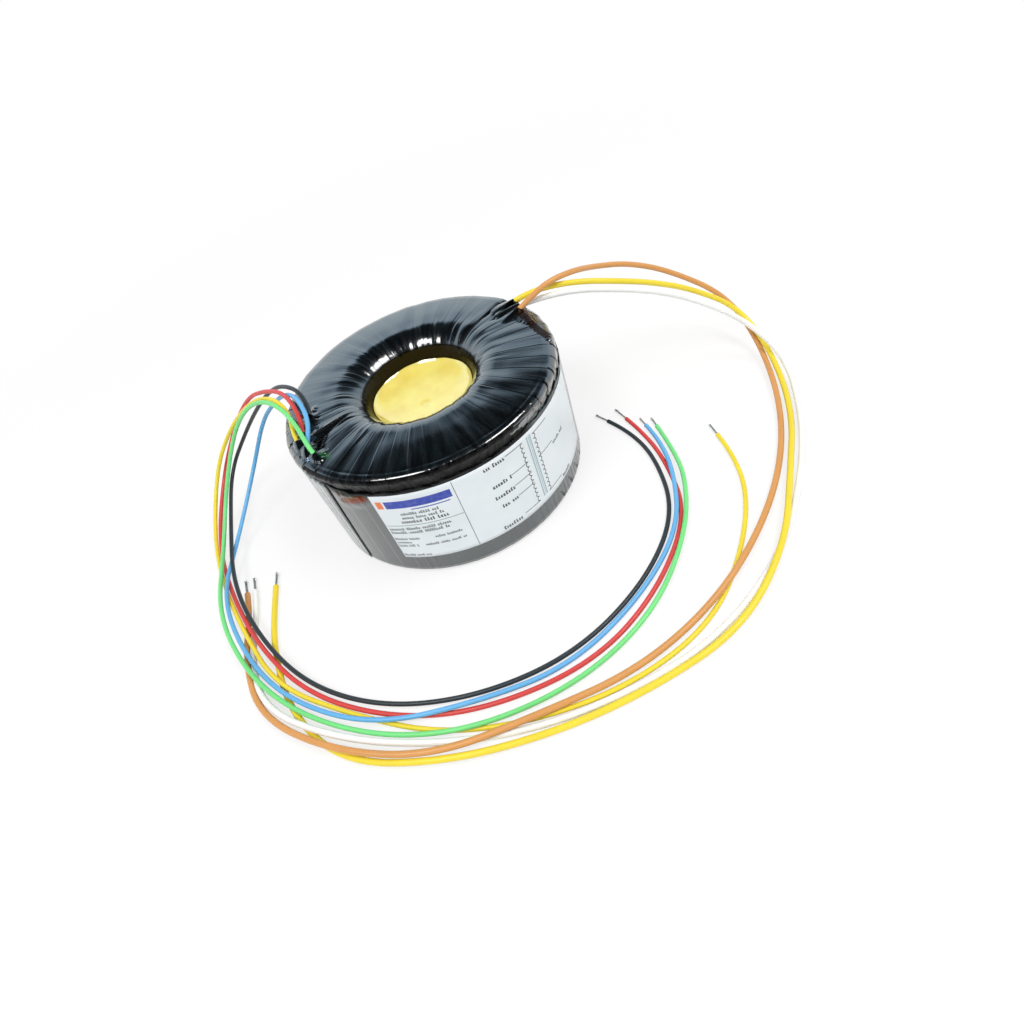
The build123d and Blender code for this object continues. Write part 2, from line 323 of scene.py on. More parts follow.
@dataclass(frozen=True)
class WoundTape(ThinFilm):
    """Black polyester tape wound on under tension: glossy, with creases that run across the ring.

    The film is thin, so what lies right under it tints it, and resin has run down it in the hole.
    """

    base: str = "#05070A"
    # Lighter colour mixed into the base in streaks: a painted sheen.
    painted_sheen: str = "#0E181C"
    resin: str = "#262009"
    index: float = 1.8
    varnished: bool = True
    patch_mm: float = 6.0
    streak_mm: float = 1.8
    streak_length_mm: float = 16.0
    ripple_mm: float = 0.5
    middle_radius_mm: float = 41.0

    def pattern(self, tree: bpy.types.NodeTree, across_mm: float, along_mm: float, detail: float) -> bpy.types.Node:
        """Add noise that follows the winding attribute, which holds cosine, sine and way along the section.

        Args:
            tree: node tree that gets it.
            across_mm: size of a patch round the ring.
            along_mm: size of a patch along the section.
            detail: octaves.

        Returns:
            The noise node.
        """
        place = add_node(tree, "ShaderNodeAttribute", attribute_name="winding")
        across = self.middle_radius_mm / across_mm
        scaled = add_node(
            tree, "ShaderNodeMapping", {"Vector": place.outputs["Vector"], "Scale": (across, across, 1 / along_mm)}
        )
        return add_node(
            tree,
            "ShaderNodeTexNoise",
            {"Vector": scaled.outputs[0], "Scale": 1.0, "Detail": detail, "Roughness": 0.55, "Distortion": 0.5},
        )

    def shade(self, tree: bpy.types.NodeTree, shader: bpy.types.Node) -> None:
        """Streaks of painted sheen and bump under a smooth gloss; where resin, a lead or painted shade shows, the gloss
        is left out.

        Args:
            tree: node tree of the material.
            shader: its main shader.
        """
        streaks = self.pattern(tree, self.streak_mm, self.streak_length_mm, 4.0)
        broad = self.pattern(tree, self.patch_mm, 1.8 * self.patch_mm, 3.0)
        ripple = self.pattern(tree, self.ripple_mm, 4.0, 2.0)
        amount = add_node(tree, "ShaderNodeMath", {0: streaks.outputs[0], 1: broad.outputs[0]}, operation="MULTIPLY")
        # Painted sheen: where the streak pattern is strong the base colour turns lighter.
        painted_sheen = add_node(
            tree, "ShaderNodeMapRange", {"Value": amount.outputs[0], "From Min": 0.16, "From Max": 0.40}, clamp=True
        )
        film = add_node(
            tree,
            "ShaderNodeMix",
            {0: painted_sheen.outputs[0], 6: linear(self.base), 7: linear(self.painted_sheen)},
            data_type="RGBA",
        )
        self.cover(tree, shader, film.outputs[2], self.varnished)
        rough = add_node(
            tree,
            "ShaderNodeMapRange",
            {"Value": streaks.outputs[0], "From Min": 0.3, "From Max": 0.75, "To Min": 0.12, "To Max": 0.30},
            clamp=True,
        )
        low = add_node(
            tree, "ShaderNodeBump", {"Height": streaks.outputs[0], "Strength": 0.28, "Distance": 0.30 * MM}
        )
        high = add_node(
            tree,
            "ShaderNodeBump",
            {"Height": ripple.outputs[0], "Strength": 0.12, "Distance": 0.10 * MM, "Normal": low.outputs[0]},
        )
        tree.links.new(rough.outputs[0], shader.inputs["Roughness"])
        tree.links.new(high.outputs[0], shader.inputs["Normal"])
        shader.inputs["Coat IOR"].default_value = self.index
        shader.inputs["Coat Roughness"].default_value = 0.04
        shader.inputs["IOR"].default_value = self.index


@dataclass(frozen=True)
class StretchedFilm(ThinFilm):
    """Tinted polyester film pulled tight round the side: a hard gloss with fine upright ribs."""

    upper: str = "#303536"
    # Paler colour at the foot: a painted reflection of the white floor.
    lower: str = "#434A4B"
    rib_mm: float = 1.4
    radius_mm: float = 60.0
    height_mm: float = 50.0

    def shade(self, tree: bpy.types.NodeTree, shader: bpy.types.Node) -> None:
        """Ribs are noise over the angle, stretched over the full height; the colour pales downwards, a painted
        reflection of the white floor.

        Args:
            tree: node tree of the material.
            shader: its main shader.
        """
        place = add_node(tree, "ShaderNodeAttribute", attribute_name="winding")
        across = self.radius_mm / self.rib_mm
        ribs_place = add_node(
            tree, "ShaderNodeMapping", {"Vector": place.outputs["Vector"], "Scale": (across, across, 0.03)}
        )
        ribs = add_node(
            tree,
            "ShaderNodeTexNoise",
            {"Vector": ribs_place.outputs[0], "Scale": 1.0, "Detail": 3.0, "Roughness": 0.65},
        )
        broad_place = add_node(
            tree, "ShaderNodeMapping", {"Vector": place.outputs["Vector"], "Scale": (4.0, 4.0, 0.02)}
        )
        broad = add_node(
            tree,
            "ShaderNodeTexNoise",
            {"Vector": broad_place.outputs[0], "Scale": 1.0, "Detail": 2.0, "Roughness": 0.5},
        )
        split = add_node(tree, "ShaderNodeSeparateXYZ", {0: place.outputs["Vector"]})
        # Painted reflection: the colour pales towards the foot, where the film mirrors the floor.
        drop = add_node(
            tree,
            "ShaderNodeMapRange",
            {"Value": split.outputs["Z"], "From Min": self.height_mm, "From Max": 0.0, "To Min": 0.0, "To Max": 0.75},
            clamp=True,
        )
        mixed = add_node(
            tree,
            "ShaderNodeMath",
            {0: broad.outputs[0], 1: 0.5, 2: drop.outputs[0]},
            operation="MULTIPLY_ADD",
        )
        film = add_node(
            tree,
            "ShaderNodeMix",
            {0: mixed.outputs[0], 6: linear(self.upper), 7: linear(self.lower)},
            data_type="RGBA",
        )
        self.cover(tree, shader, film.outputs[2], glossy=True)
        bump = add_node(tree, "ShaderNodeBump", {"Height": ribs.outputs[0], "Strength": 0.2, "Distance": 0.12 * MM})
        tree.links.new(bump.outputs[0], shader.inputs["Normal"])
        shader.inputs["Roughness"].default_value = 0.16
        shader.inputs["IOR"].default_value = 1.45
        shader.inputs["Coat IOR"].default_value = 1.6
        shader.inputs["Coat Roughness"].default_value = 0.04


@dataclass(frozen=True)
class PrintedFilm(Finish):
    """Silver-grey label film, coated for print: satin, slightly cloudy."""

    light: str = "#EEF4F8"
    dark: str = "#DFE8ED"
    cloud_mm: float = 14.0

    def shade(self, tree: bpy.types.NodeTree, shader: bpy.types.Node) -> None:
        """Clouds of a slightly darker grey, too faint to see as a pattern.

        Args:
            tree: node tree of the material.
            shader: its main shader.
        """
        clouds = self.speckle(tree, self.cloud_mm, detail=3.0)
        self.mottle(tree, shader, clouds, (linear(self.light), linear(self.dark)))
        self.roughen(tree, shader, size_mm=0.8, strength=0.15, depth_mm=0.03)
        shader.inputs["Roughness"].default_value = 0.32


@dataclass(frozen=True)
class PrintInk(Finish):
    """Thermal-transfer ink: a thin, even, slightly glossy layer."""

    colour: str = "#2B2E33"
    skip_mm: float = 1.5

    def shade(self, tree: bpy.types.NodeTree, shader: bpy.types.Node) -> None:
        """Even colour, with a faint loss of density where the ribbon skipped.

        Args:
            tree: node tree of the material.
            shader: its main shader.
        """
        full = linear(self.colour)
        thin = tuple(0.9 * part + 0.1 * 0.7 for part in full[:3]) + (1.0,)
        skips = self.speckle(tree, self.skip_mm)
        self.mottle(tree, shader, skips, (full, thin), spread=(0.45, 0.8, 1.0))
        shader.inputs["Roughness"].default_value = 0.4


@dataclass(frozen=True)
class CastResin(Finish):
    """Polyurethane resin poured warm: pale yellow, cloudy within, a wet gloss on top."""

    light: str = "#FCEF86"
    dark: str = "#E6C650"
    cloud_mm: float = 15.0

    def shade(self, tree: bpy.types.NodeTree, shader: bpy.types.Node) -> None:
        """Clouds of deeper yellow; light enters a millimetre or two before it comes back.

        Args:
            tree: node tree of the material.
            shader: its main shader.
        """
        clouds = self.speckle(tree, self.cloud_mm, detail=3.0, swirl=0.3)
        self.mottle(tree, shader, clouds, (linear(self.light), linear(self.dark)), spread=(0.35, 0.8, 0.7))
        shader.inputs["Subsurface Weight"].default_value = 0.25
        shader.inputs["Subsurface Radius"].default_value = (1.0, 0.8, 0.3)
        shader.inputs["Subsurface Scale"].default_value = 1.5 * MM
        shader.inputs["Roughness"].default_value = 0.07
        shader.inputs["IOR"].default_value = 1.52
        shader.inputs["Coat Weight"].default_value = 1.0
        shader.inputs["Coat IOR"].default_value = 1.8
        shader.inputs["Coat Roughness"].default_value = 0.03


@dataclass(frozen=True)
class ExtrudedPvc(Finish):
    """Soft PVC drawn over the strands: even colour with a dull shine and a faint draw grain."""

    colour: str = "#808080"
    drift_mm: float = 12.0

    def shade(self, tree: bpy.types.NodeTree, shader: bpy.types.Node) -> None:
        """Small drifts of the same colour, and a bump of a few hundredths of a millimetre.

        Args:
            tree: node tree of the material.
            shader: its main shader.
        """
        body = linear(self.colour)
        deep = tuple(0.82 * part for part in body[:3]) + (1.0,)
        self.mottle(tree, shader, self.speckle(tree, self.drift_mm), (body, deep))
        self.roughen(tree, shader, size_mm=0.7, strength=0.2, depth_mm=0.05)
        shader.inputs["Roughness"].default_value = 0.36


@dataclass(frozen=True)
class Metal(Finish):
    """Bare metal: wire, strip or turned stock, with a fine grain from how it was worked."""

    colour: str = "#B9BAB8"
    roughness: float = 0.35
    grain_mm: float = 0.5

    def shade(self, tree: bpy.types.NodeTree, shader: bpy.types.Node) -> None:
        """Fully metallic, with its roughness drifting a little over the grain.

        Args:
            tree: node tree of the material.
            shader: its main shader.
        """
        grain = self.speckle(tree, self.grain_mm)
        rough = add_node(
            tree,
            "ShaderNodeMapRange",
            {"Value": grain, "To Min": 0.7 * self.roughness, "To Max": 1.3 * self.roughness},
        )
        tree.links.new(rough.outputs[0], shader.inputs["Roughness"])
        shader.inputs["Base Color"].default_value = linear(self.colour)
        shader.inputs["Metallic"].default_value = 1.0


@dataclass(frozen=True)
class PaperFilm(Finish):
    """Clear-yellow insulating film in many turns: satin and slightly streaked."""

    colour: str = "#B7AE86"
    streak_mm: float = 4.0

    def shade(self, tree: bpy.types.NodeTree, shader: bpy.types.Node) -> None:
        """One colour with soft streaks.

        Args:
            tree: node tree of the material.
            shader: its main shader.
        """
        body = linear(self.colour)
        deep = tuple(0.7 * part for part in body[:3]) + (1.0,)
        self.mottle(tree, shader, self.speckle(tree, self.streak_mm), (body, deep))
        shader.inputs["Roughness"].default_value = 0.4


TAPE = WoundTape("Polyester tape, wound")
# Gathered tape scatters what a smooth film would mirror, so its index is set well below polyester's.
PLEATED = WoundTape(
    "Polyester tape, pleated",
    base="#050607",
    # Its lighter streaks are painted sheen as well.
    painted_sheen="#201F20",
    index=1.22,
    varnished=False,
    streak_mm=1.3,
    streak_length_mm=2.6,
    patch_mm=2.6,
)
FILM = StretchedFilm("Polyester film, stretched")
LABEL_FILM = PrintedFilm("Label film, print-coated")
BLACK_INK = PrintInk("Ribbon ink, black", "#1B1D22")
BLUE_INK = PrintInk("Ribbon ink, blue", "#2F46AE")
ORANGE_INK = PrintInk("Ribbon ink, orange", "#EF7B3E")
STEEL_INK = PrintInk("Ribbon ink, steel blue", "#A3B9C2")
RESIN = CastResin("Polyurethane resin, cast")
TINNED = Metal("Copper strands, tinned", "#D8D8D4", 0.3, 0.3)
BRASS = Metal("Brass, turned", "#C9A25A", 0.25, 0.4)
STRIP_STEEL = Metal("Silicon steel strip, wound", "#8E8F92", 0.4, 0.3)
ENAMELLED = Metal("Copper wire, enamelled", "#B4623A", 0.35, 0.8)
INSULATION = PaperFilm("Polyester film, insulating")


class Sleeve(Enum):
    """Colours of the leads' insulation."""

    GREEN = ExtrudedPvc("PVC, extruded, green", "#7DE98A")
    BLACK = ExtrudedPvc("PVC, extruded, black", "#343C40")
    BLUE = ExtrudedPvc("PVC, extruded, blue", "#6DB9F0")
    RED = ExtrudedPvc("PVC, extruded, red", "#E24A48")
    YELLOW = ExtrudedPvc("PVC, extruded, yellow", "#F8E03A")
    BROWN = ExtrudedPvc("PVC, extruded, brown", "#E0A05C")
    WHITE = ExtrudedPvc("PVC, extruded, white", "#FDFDFB")


# --- taped ring


def run(first: tuple[float, float], last: tuple[float, float], count: int) -> Array:
    """Space points evenly on a straight line, without its last point."""
    return np.linspace(first, last, count, endpoint=False)


def bend(middle: tuple[float, float], radius: float, start: float, count: int) -> Array:
    """Space points evenly on a quarter circle that begins at an angle in degrees, without its last point."""
    turn = np.radians(np.linspace(start, start + 90, count, endpoint=False))
    return np.stack([middle[0] + radius * np.cos(turn), middle[1] + radius * np.sin(turn)], -1)


@dataclass(frozen=True)
class RingSection:
    """Radial section of the taped ring, in millimetres: four straight sides joined by round corners."""

    outer: float
    hole: float
    bottom: float
    top: float
    side_break: float = 46.0
    wall_break: float = 43.5
    hole_corner: float = 14.0
    hole_foot_corner: float = 10.0
    foot_corner: float = 2.0
    side_steps: int = 9
    rim_steps: int = 14
    face_steps: int = 22

    def face(self, rim: float) -> Array:
        """Trace the section up the side, round the rim, over the face and down into the hole.

        Args:
            rim: radius of the rim's corner.

        Returns:
            Radius and height of each point.
        """
        rim_middle = (self.outer - rim, self.top - rim)
        hole_middle = (self.hole + self.hole_corner, self.top - self.hole_corner)
        return np.concatenate(
            [
                run((self.outer, self.side_break), (self.outer, self.top - rim), self.side_steps),
                bend(rim_middle, rim, 0, self.rim_steps),
                run((self.outer - rim, self.top), (hole_middle[0], self.top), self.face_steps),
                bend(hole_middle, self.hole_corner, 90, 24),
                np.linspace((self.hole, hole_middle[1]), (self.hole, self.wall_break), 3),
            ]
        )

    def back(self) -> Array:
        """Trace the rest of the section: down the hole, over the foot and up the side.

        Returns:
            Radius and height of each point.
        """
        hole_middle = (self.hole + self.hole_foot_corner, self.bottom + self.hole_foot_corner)
        foot_middle = (self.outer - self.foot_corner, self.bottom + self.foot_corner)
        return np.concatenate(
            [
                run((self.hole, self.wall_break), (self.hole, hole_middle[1]), 5),
                bend(hole_middle, self.hole_foot_corner, 180, 18),
                run((hole_middle[0], self.bottom), (foot_middle[0], self.bottom), 18),
                bend(foot_middle, self.foot_corner, 270, 8),
                np.linspace((self.outer, foot_middle[1]), (self.outer, self.side_break), 6),
            ]
        )


def way_along(profile: Array) -> Array:
    """Measure the way along a profile from its first point, in millimetres."""
    return np.concatenate([[0.0], np.cumsum(np.hypot(*np.diff(profile, axis=0).T))])


def outward(points: Array) -> Array:
    """Work out the normals of a grid that closes on itself along its rows.

    The normal is the cross product of the step to the next row and the step to the next column.

    Args:
        points: grid of points, rows round the ring.

    Returns:
        Unit normals, one for each point.
    """
    around = np.roll(points, -1, axis=0) - np.roll(points, 1, axis=0)
    along = np.gradient(points, axis=1)
    normals = np.cross(around, along)
    return normals / np.linalg.norm(normals, axis=-1, keepdims=True)


@dataclass(frozen=True)
class Creases:
    """A family of sharp creases: each is a ridge that dies away along and across the section."""

    count: int
    way: tuple[float, float]
    reach: tuple[float, float]
    width: tuple[float, float]
    depth: tuple[float, float]
    slant: float
    seed: int

    def relief(self, angle: Array, way: Array, radius: Array) -> Array:
        """Add the creases up.

        A crease's height is its depth, times a bell over the way along the section, times a peak that falls
        by e for each width to its side, measured round the ring at the local radius.

        Args:
            angle: polar angles in degrees, one a row.
            way: way along the section, one a column.
            radius: local radius, one a column.

        Returns:
            Height over the smooth section, in millimetres.
        """
        random = np.random.default_rng(self.seed)
        total = np.zeros((angle.size, way.size))
        rows = np.radians(angle)[:, None]
        for _ in range(self.count):
            centre = random.uniform(-np.pi, np.pi)
            place, reach, width, depth = (
                random.uniform(*span) for span in (self.way, self.reach, self.width, self.depth)
            )
            slant = random.normal(0, self.slant)
            aside = (rows - centre + np.pi) % (2 * np.pi) - np.pi
            aside = aside * radius[None, :] + slant * (way - place)[None, :]
            bell = np.exp(-(((way - place) / reach) ** 2))[None, :]
            total += random.choice([-1.0, 1.0]) * depth * bell * np.exp(-np.abs(aside) / width)
        return total


@dataclass(frozen=True)
class Slack:
    """Broad, shallow waves where the tape isn't quite tight: a sum of sines round and across the ring."""

    modes: int = 26
    around: tuple[int, int] = (8, 46)
    across: float = 0.22
    height: float = 0.017
    seed: int = 7

    def relief(self, angle: Array, way: Array) -> Array:
        """Add the waves up: each is a sine of a whole number times the angle plus a share of the way.

        Args:
            angle: polar angles in degrees, one a row.
            way: way along the section, one a column.

        Returns:
            Height over the smooth section, in millimetres.
        """
        random = np.random.default_rng(self.seed)
        turn = np.radians(angle)[:, None]
        total = np.zeros((angle.size, way.size))
        for _ in range(self.modes):
            count = random.integers(*self.around)
            tilt = random.uniform(-self.across, self.across)
            total += np.sin(count * turn + tilt * way[None, :] + random.uniform(0, 2 * np.pi)) * (30 / (count + 10))
        return self.height * total


@dataclass(frozen=True)
class Fold:
    """A fold of the tape on the face, from one place to another, in millimetres, with one steep flank."""

    start: tuple[float, float]
    end: tuple[float, float]
    height: float
    steep: float
    gentle: float
    # dark: amount of painted shade along the fold's valley.
    dark: float = 0.0

    def relief(self, points: Array) -> tuple[Array, Array]:
        """Work out the fold's height: it falls off by e for each width to its side, and is steeper on its left.

        Args:
            points: points of the smooth surface.

        Returns:
            Height over it, in millimetres, and how far no light gets into the fold, 0 to 1.
        """
        first, last = np.array(self.start), np.array(self.end)
        length = np.linalg.norm(last - first)
        ahead = (last - first) / length
        offset = points[..., :2] - first
        along = offset @ ahead / length
        left = offset @ np.array([-ahead[1], ahead[0]])
        width = np.where(left > 0, self.steep, self.gentle) * (1.15 - 0.6 * np.clip(along, 0, 1))
        ends = fade(along, -0.12, 0.05) * (1 - fade(along, 0.55, 1.1))
        upper = fade(points[..., 2], 48.0, 54.0)
        there = ends * upper
        return self.height * there * np.exp(-np.abs(left) / width), self.dark * there * np.exp(-((left / width) ** 4))


@dataclass(frozen=True)
class Buried:
    """A stretch of lead that lies right under the tape, from one point to another, in millimetres."""

    start: tuple[float, float, float]
    end: tuple[float, float, float]
    radius: float
    colour: str
    show: float

    def lift(self, points: Array, normals: Array) -> tuple[Array, Array]:
        """Work out how the tape rides over the stretch.

        The tape lies on a round bar and slopes down beside it: next to the bar its height is that of the
        bar's top, times a bell over the distance to the side.

        Args:
            points: points of the smooth surface.
            normals: their outward normals.

        Returns:
            Height to add, and the share of the stretch's own colour that shows.
        """
        first, last = np.array(self.start), np.array(self.end)
        way = last - first
        share = np.clip(((points - first) @ way) / (way @ way), 0, 1)
        offset = points - (first + share[..., None] * way)
        depth = np.sum(offset * normals, -1)
        aside = np.sqrt(np.maximum(np.sum(offset * offset, -1) - depth**2, 0))
        cover = np.sqrt(np.maximum(self.radius**2 - aside**2, 0)) - depth
        tent = (self.radius - depth) * np.exp(-((aside / (1.4 * self.radius)) ** 2))
        near = (np.abs(depth) < 4 * self.radius) & (aside < 4 * self.radius)
        height = np.where(near, np.maximum(np.maximum(np.where(aside < self.radius, cover, 0), tent), 0), 0)
        return height, self.show * np.where(near, np.exp(-((aside / (0.9 * self.radius)) ** 4)), 0)


@dataclass
class TapedRing:
    """The ring's outer tape: laps, creases, folds at the exits, and the humps over buried leads."""

    tape_on_rim: float = 1.6
    tape_on_face: float = 2.0
    hole_radius: float = 22.0
    rim_at_back: float = 5.5
    rim_at_front: float = 3.8
    front_flare: float = 0.9
    band_roll: float = 0.65
    lap_count: int = 45
    lap_step: float = 0.32
    lap_first_edge: float = -151.0
    front_middle: float = -95.0
    front_reach: tuple[float, float] = (42.0, 85.0)
    roll_middle: float = -60.0
    roll_reach: tuple[float, float] = (60.0, 95.0)
    band_edge: float = 50.6
    crown: float = 0.9
    crown_start: float = 42.0
    crown_span: float = 14.0
    crown_power: float = 1.6
    relief_limit: float = 1.6
    resin_line: float = 53.7
    rows: int = 1380
    pleats: tuple[float, float] = (-150.0, -60.0)
    buried: list[Buried] = field(default_factory=list)
    folds: list[Fold] = field(default_factory=list)

    def section(self) -> RingSection:
        """Return the section that the frame gives: the outer winding plus the tape."""
        low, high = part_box("primary_winding_outer")
        return RingSection(
            outer=high.x / MM + self.tape_on_rim,
            hole=self.hole_radius,
            bottom=low.z / MM - self.tape_on_face,
            top=high.z / MM + self.tape_on_face,
        )

    def angles(self) -> Array:
        """Return the polar angles of the rows, in degrees, from the back round to the back."""
        return (np.linspace(0, 360, self.rows, endpoint=False) + 270) % 360 - 180

    def front(self) -> Array:
        """Return how far each row belongs to the front, where the rim is sharp: 0 to 1."""
        return 1 - fade(self.aside(self.front_middle), *self.front_reach)

    def aside(self, middle: float) -> Array:
        """Return how far each row is from an angle, in degrees."""
        return np.abs((self.angles() - middle + 180) % 360 - 180)

    def creases(self, rim: float, hole: float) -> list[Creases]:
        """Return the families of creases: gathers at the hole, streaks on the face, pleats at the rim.

        Args:
            rim: way along the section to the rim.
            hole: way along the section to the edge of the hole.
        """
        return [
            Creases(120, (hole + 1, hole + 10), (4, 8), (0.4, 1.0), (0.03, 0.12), 0.05, 11),
            Creases(40, (hole - 8, hole + 4), (6, 12), (0.8, 1.8), (0.02, 0.06), 0.10, 12),
            Creases(26, (rim + 4, hole - 4), (5, 10), (1.0, 2.4), (0.012, 0.032), 0.18, 14),
            Creases(170, (rim - 8, rim - 3.5), (1.6, 2.6), (0.3, 0.9), (0.10, 0.34), 0.20, 13),
        ]

    def dressed(self, name: str, points: Array, way: Array, tint: Array) -> bpy.types.Object:
        """Make a piece of tape from its grid and give it its finish.

        Args:
            name: name of the piece.
            points: grid of points, rows round the ring.
            way: way along the section of each column.
            tint: colour and amount of what shows through and of painted light, for each point.

        Returns:
            The piece.
        """
        rows, columns = points.shape[:2]
        piece = mesh_piece(name, points, grid_faces(rows, columns, True, False).tolist())
        turn = np.radians(self.angles())[:, None] * np.ones(columns)[None, :]
        along = np.ones(rows)[:, None] * way[None, :]
        store(piece, "winding", np.stack([np.cos(turn), np.sin(turn), along], -1))
        store(piece, "beneath", tint)
        TAPE.dress(piece, "black_tape")
        return piece

    def swept(self, profile: Array) -> Array:
        """Sweep a profile round the ring."""
        return polar(profile[None, :, 0], self.angles()[:, None], profile[None, :, 1])

    def laps(self, columns: int) -> Array:
        """Work out the laps: each stands proud at its clockwise edge and sinks evenly away behind it."""
        teeth = ((self.angles() - self.lap_first_edge) * self.lap_count / 360) % 1
        return -self.lap_step * teeth[:, None] * np.ones(columns)[None, :]

    def face(self) -> bpy.types.Object:
        """Build the tape that is seen from above: side, rim, face and the wall of the hole.

        The sharp-rimmed section at the front blends into the rounder one at the back. The surface is then
        moved along its normal by the laps, the waves, the creases, the folds and the humps.

        Returns:
            The piece.
        """
        section = self.section()
        front = self.front()[:, None, None]
        round_rim, sharp_rim = section.face(self.rim_at_back), section.face(self.rim_at_front)
        points = self.swept(round_rim) * (1 - front) + self.swept(sharp_rim) * front
        way = way_along(round_rim)
        radius, height = round_rim[:, 0], round_rim[:, 1]
        normals = outward(points)
        corner_end = section.side_steps + section.rim_steps
        rim, hole = way[section.side_steps + section.rim_steps // 2], way[corner_end + section.face_steps]
        on_side = fade(-way, -rim + 1, -rim + 6)
        above_band = fade(height, self.band_edge, 52.0)
        relief = self.laps(len(way)) * (0.12 + 0.88 * on_side)[None, :]
        drop = np.clip((radius - self.crown_start) / self.crown_span, 0, 1) ** self.crown_power
        relief -= self.crown * (drop * fade(way, way[section.side_steps + 2], way[corner_end - 1]))[None, :]
        relief += Slack().relief(self.angles(), way) * above_band[None, :]
        for family in self.creases(rim, hole):
            relief += family.relief(self.angles(), way, radius) * above_band[None, :]
        sideways = np.hypot(normals[..., 0], normals[..., 1]) ** 2 * (way < hole)[None, :]
        relief += self.front_flare * fade(height, 50.8, 55)[None, :] * sideways * self.front()[:, None]
        roll = self.band_roll * fade(height, 50.4, 51.4) * (1 - fade(height, 52.5, 57.0))
        relief += roll[None, :] * sideways * fade(self.aside(self.roll_middle), *self.roll_reach)[:, None]
        tint = np.zeros((*relief.shape, 4))
        self.stain(tint, round_rim)
        self.lap_edge_shadows(tint, round_rim)
        for fold in self.folds:
            height_here, dark = fold.relief(points)
            relief += height_here
            # Painted shade in the folds: black where no light gets in.
            blacken(tint, dark)
        relief = np.clip(relief, -self.relief_limit, self.relief_limit)
        for stretch in self.buried:
            lift, share = stretch.lift(points, normals)
            relief = np.maximum(relief, np.where(lift > 0.05, lift, relief))
            paint(tint, share, stretch.colour)
        points = points + normals * relief[..., None]
        piece = self.dressed("wound_tape_face", points, way, tint)
        piece.data.materials.append(PLEATED.material())
        pleated = (self.pleated(round_rim) | (tint[..., 3] > 0.6))[:, :-1].astype(np.int32)
        piece.data.polygons.foreach_set("material_index", pleated.ravel())
        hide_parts("outer_wrap")
        return piece

    def pleated(self, profile: Array) -> Array:
        """Choose the places below the rim, from the front left to the front right, where the tape is gathered.

        The area's ends are ragged: each height stops at its own sum of two sines.

        Args:
            profile: radius and height of each column.

        Returns:
            Whether each point lies in the pleats.
        """
        angle, height = self.angles()[:, None], profile[None, :, 1]
        ragged = 3.0 * np.sin(height * 1.9) + 1.6 * np.sin(height * 4.3 + 1.0)
        low, high = self.pleats
        on_side = (profile[None, :, 0] > 57.0) & (height < self.section().top - 0.55 * self.rim_at_back)
        return on_side & (angle > low + 0.5 * ragged) & (angle < high + ragged)

    def back(self) -> bpy.types.Object:
        """Build the rest of the tape: the hole below the resin, the underside and the side.

        Returns:
            The piece.
        """
        section = self.section()
        profile = section.back()
        points = self.swept(profile)
        start = way_along(section.face(self.rim_at_back))[-1]
        way = start + way_along(profile)
        edges = fade(way, start, start + 4) * (1 - fade(way, way[-1] - 5, way[-1]))
        relief = self.laps(len(way)) * (0.35 + 0.65 * fade(way, way[-1] - 12, way[-1]))[None, :]
        foot, middle = way[24], way[42]  # where the flat underside begins, and where it has ended
        for family in (
            Creases(160, (foot - 4, foot + 6), (5, 10), (0.4, 1.0), (0.05, 0.16), 0.06, 41),
            Creases(90, (foot + 6, middle), (5, 10), (0.5, 1.2), (0.03, 0.10), 0.15, 42),
        ):
            creases = family.relief(self.angles(), way, profile[:, 0])
            relief += np.minimum(creases, 0.02) * edges[None, :]
        points = points + outward(points) * relief[..., None]
        points[..., 2] = np.maximum(points[..., 2], 0.01)
        return self.dressed("wound_tape_back", points, way, np.zeros((*relief.shape, 4)))

    def lap_edge_shadows(self, tint: Array, profile: Array) -> None:
        """Paint shade into the open edge of each lap on the side: a leaning black slit that widens upwards, each of its
        own length.

        Args:
            tint: colour and amount, changed in place.
            profile: radius and height of each column.
        """
        height = profile[:, 1]
        turn = self.angles()[:, None] - self.lap_first_edge + 0.22 * (58.0 - height)[None, :]
        lap, tooth = np.divmod(turn * self.lap_count / 360, 1)
        low = 52.2 + 0.9 * np.sin(2.9 * lap)
        short = (profile[:, 0] > 56.0) * (height > low) * (height < 57.6)
        wide = (0.11 + 0.05 * np.sin(2.3 * lap)) * (0.45 + 0.8 * np.clip((height - low) / 5.4, 0, 1))
        slit = (tooth < wide) * short * (self.front()[:, None] < 0.97)
        # Painted shadow in each lap's open edge.
        blacken(tint, slit)

    def stain(self, tint: Array, profile: Array) -> None:
        """Tint the tape where resin has coated the wall of the hole, up to an almost level line.

        Args:
            tint: colour and amount, changed in place.
            profile: radius and height of each column.
        """
        random = np.random.default_rng(5)
        turn = np.radians(self.angles())
        wave = sum(
            random.uniform(0.05, 0.16) * np.sin(turn * count + random.uniform(0, 6))
            for count in (2, 5, 9, 17, 31, 53)
        )
        radius, height = profile[:, 0], profile[:, 1]
        line = self.resin_line + wave[:, None]
        inside = (radius < self.hole_radius + 8)[None, :]
        coat = inside * (1 - fade(height[None, :], line - 0.15, line + 0.15))
        edge = inside * (1 - fade(height[None, :], line + 0.7, line + 1.1))
        tint[..., :3] = np.array(linear(TAPE.resin)[:3]) * coat[..., None]
        # Between the coat and the edge the colour is black, so a band about a millimetre high above the line is
        # blackened and loses its gloss.
        tint[..., 3] = edge

    def build(self) -> list[bpy.types.Object]:
        """Build the tape in two pieces: the face, and the back."""
        return [self.face(), self.back()]


# --- side band and label


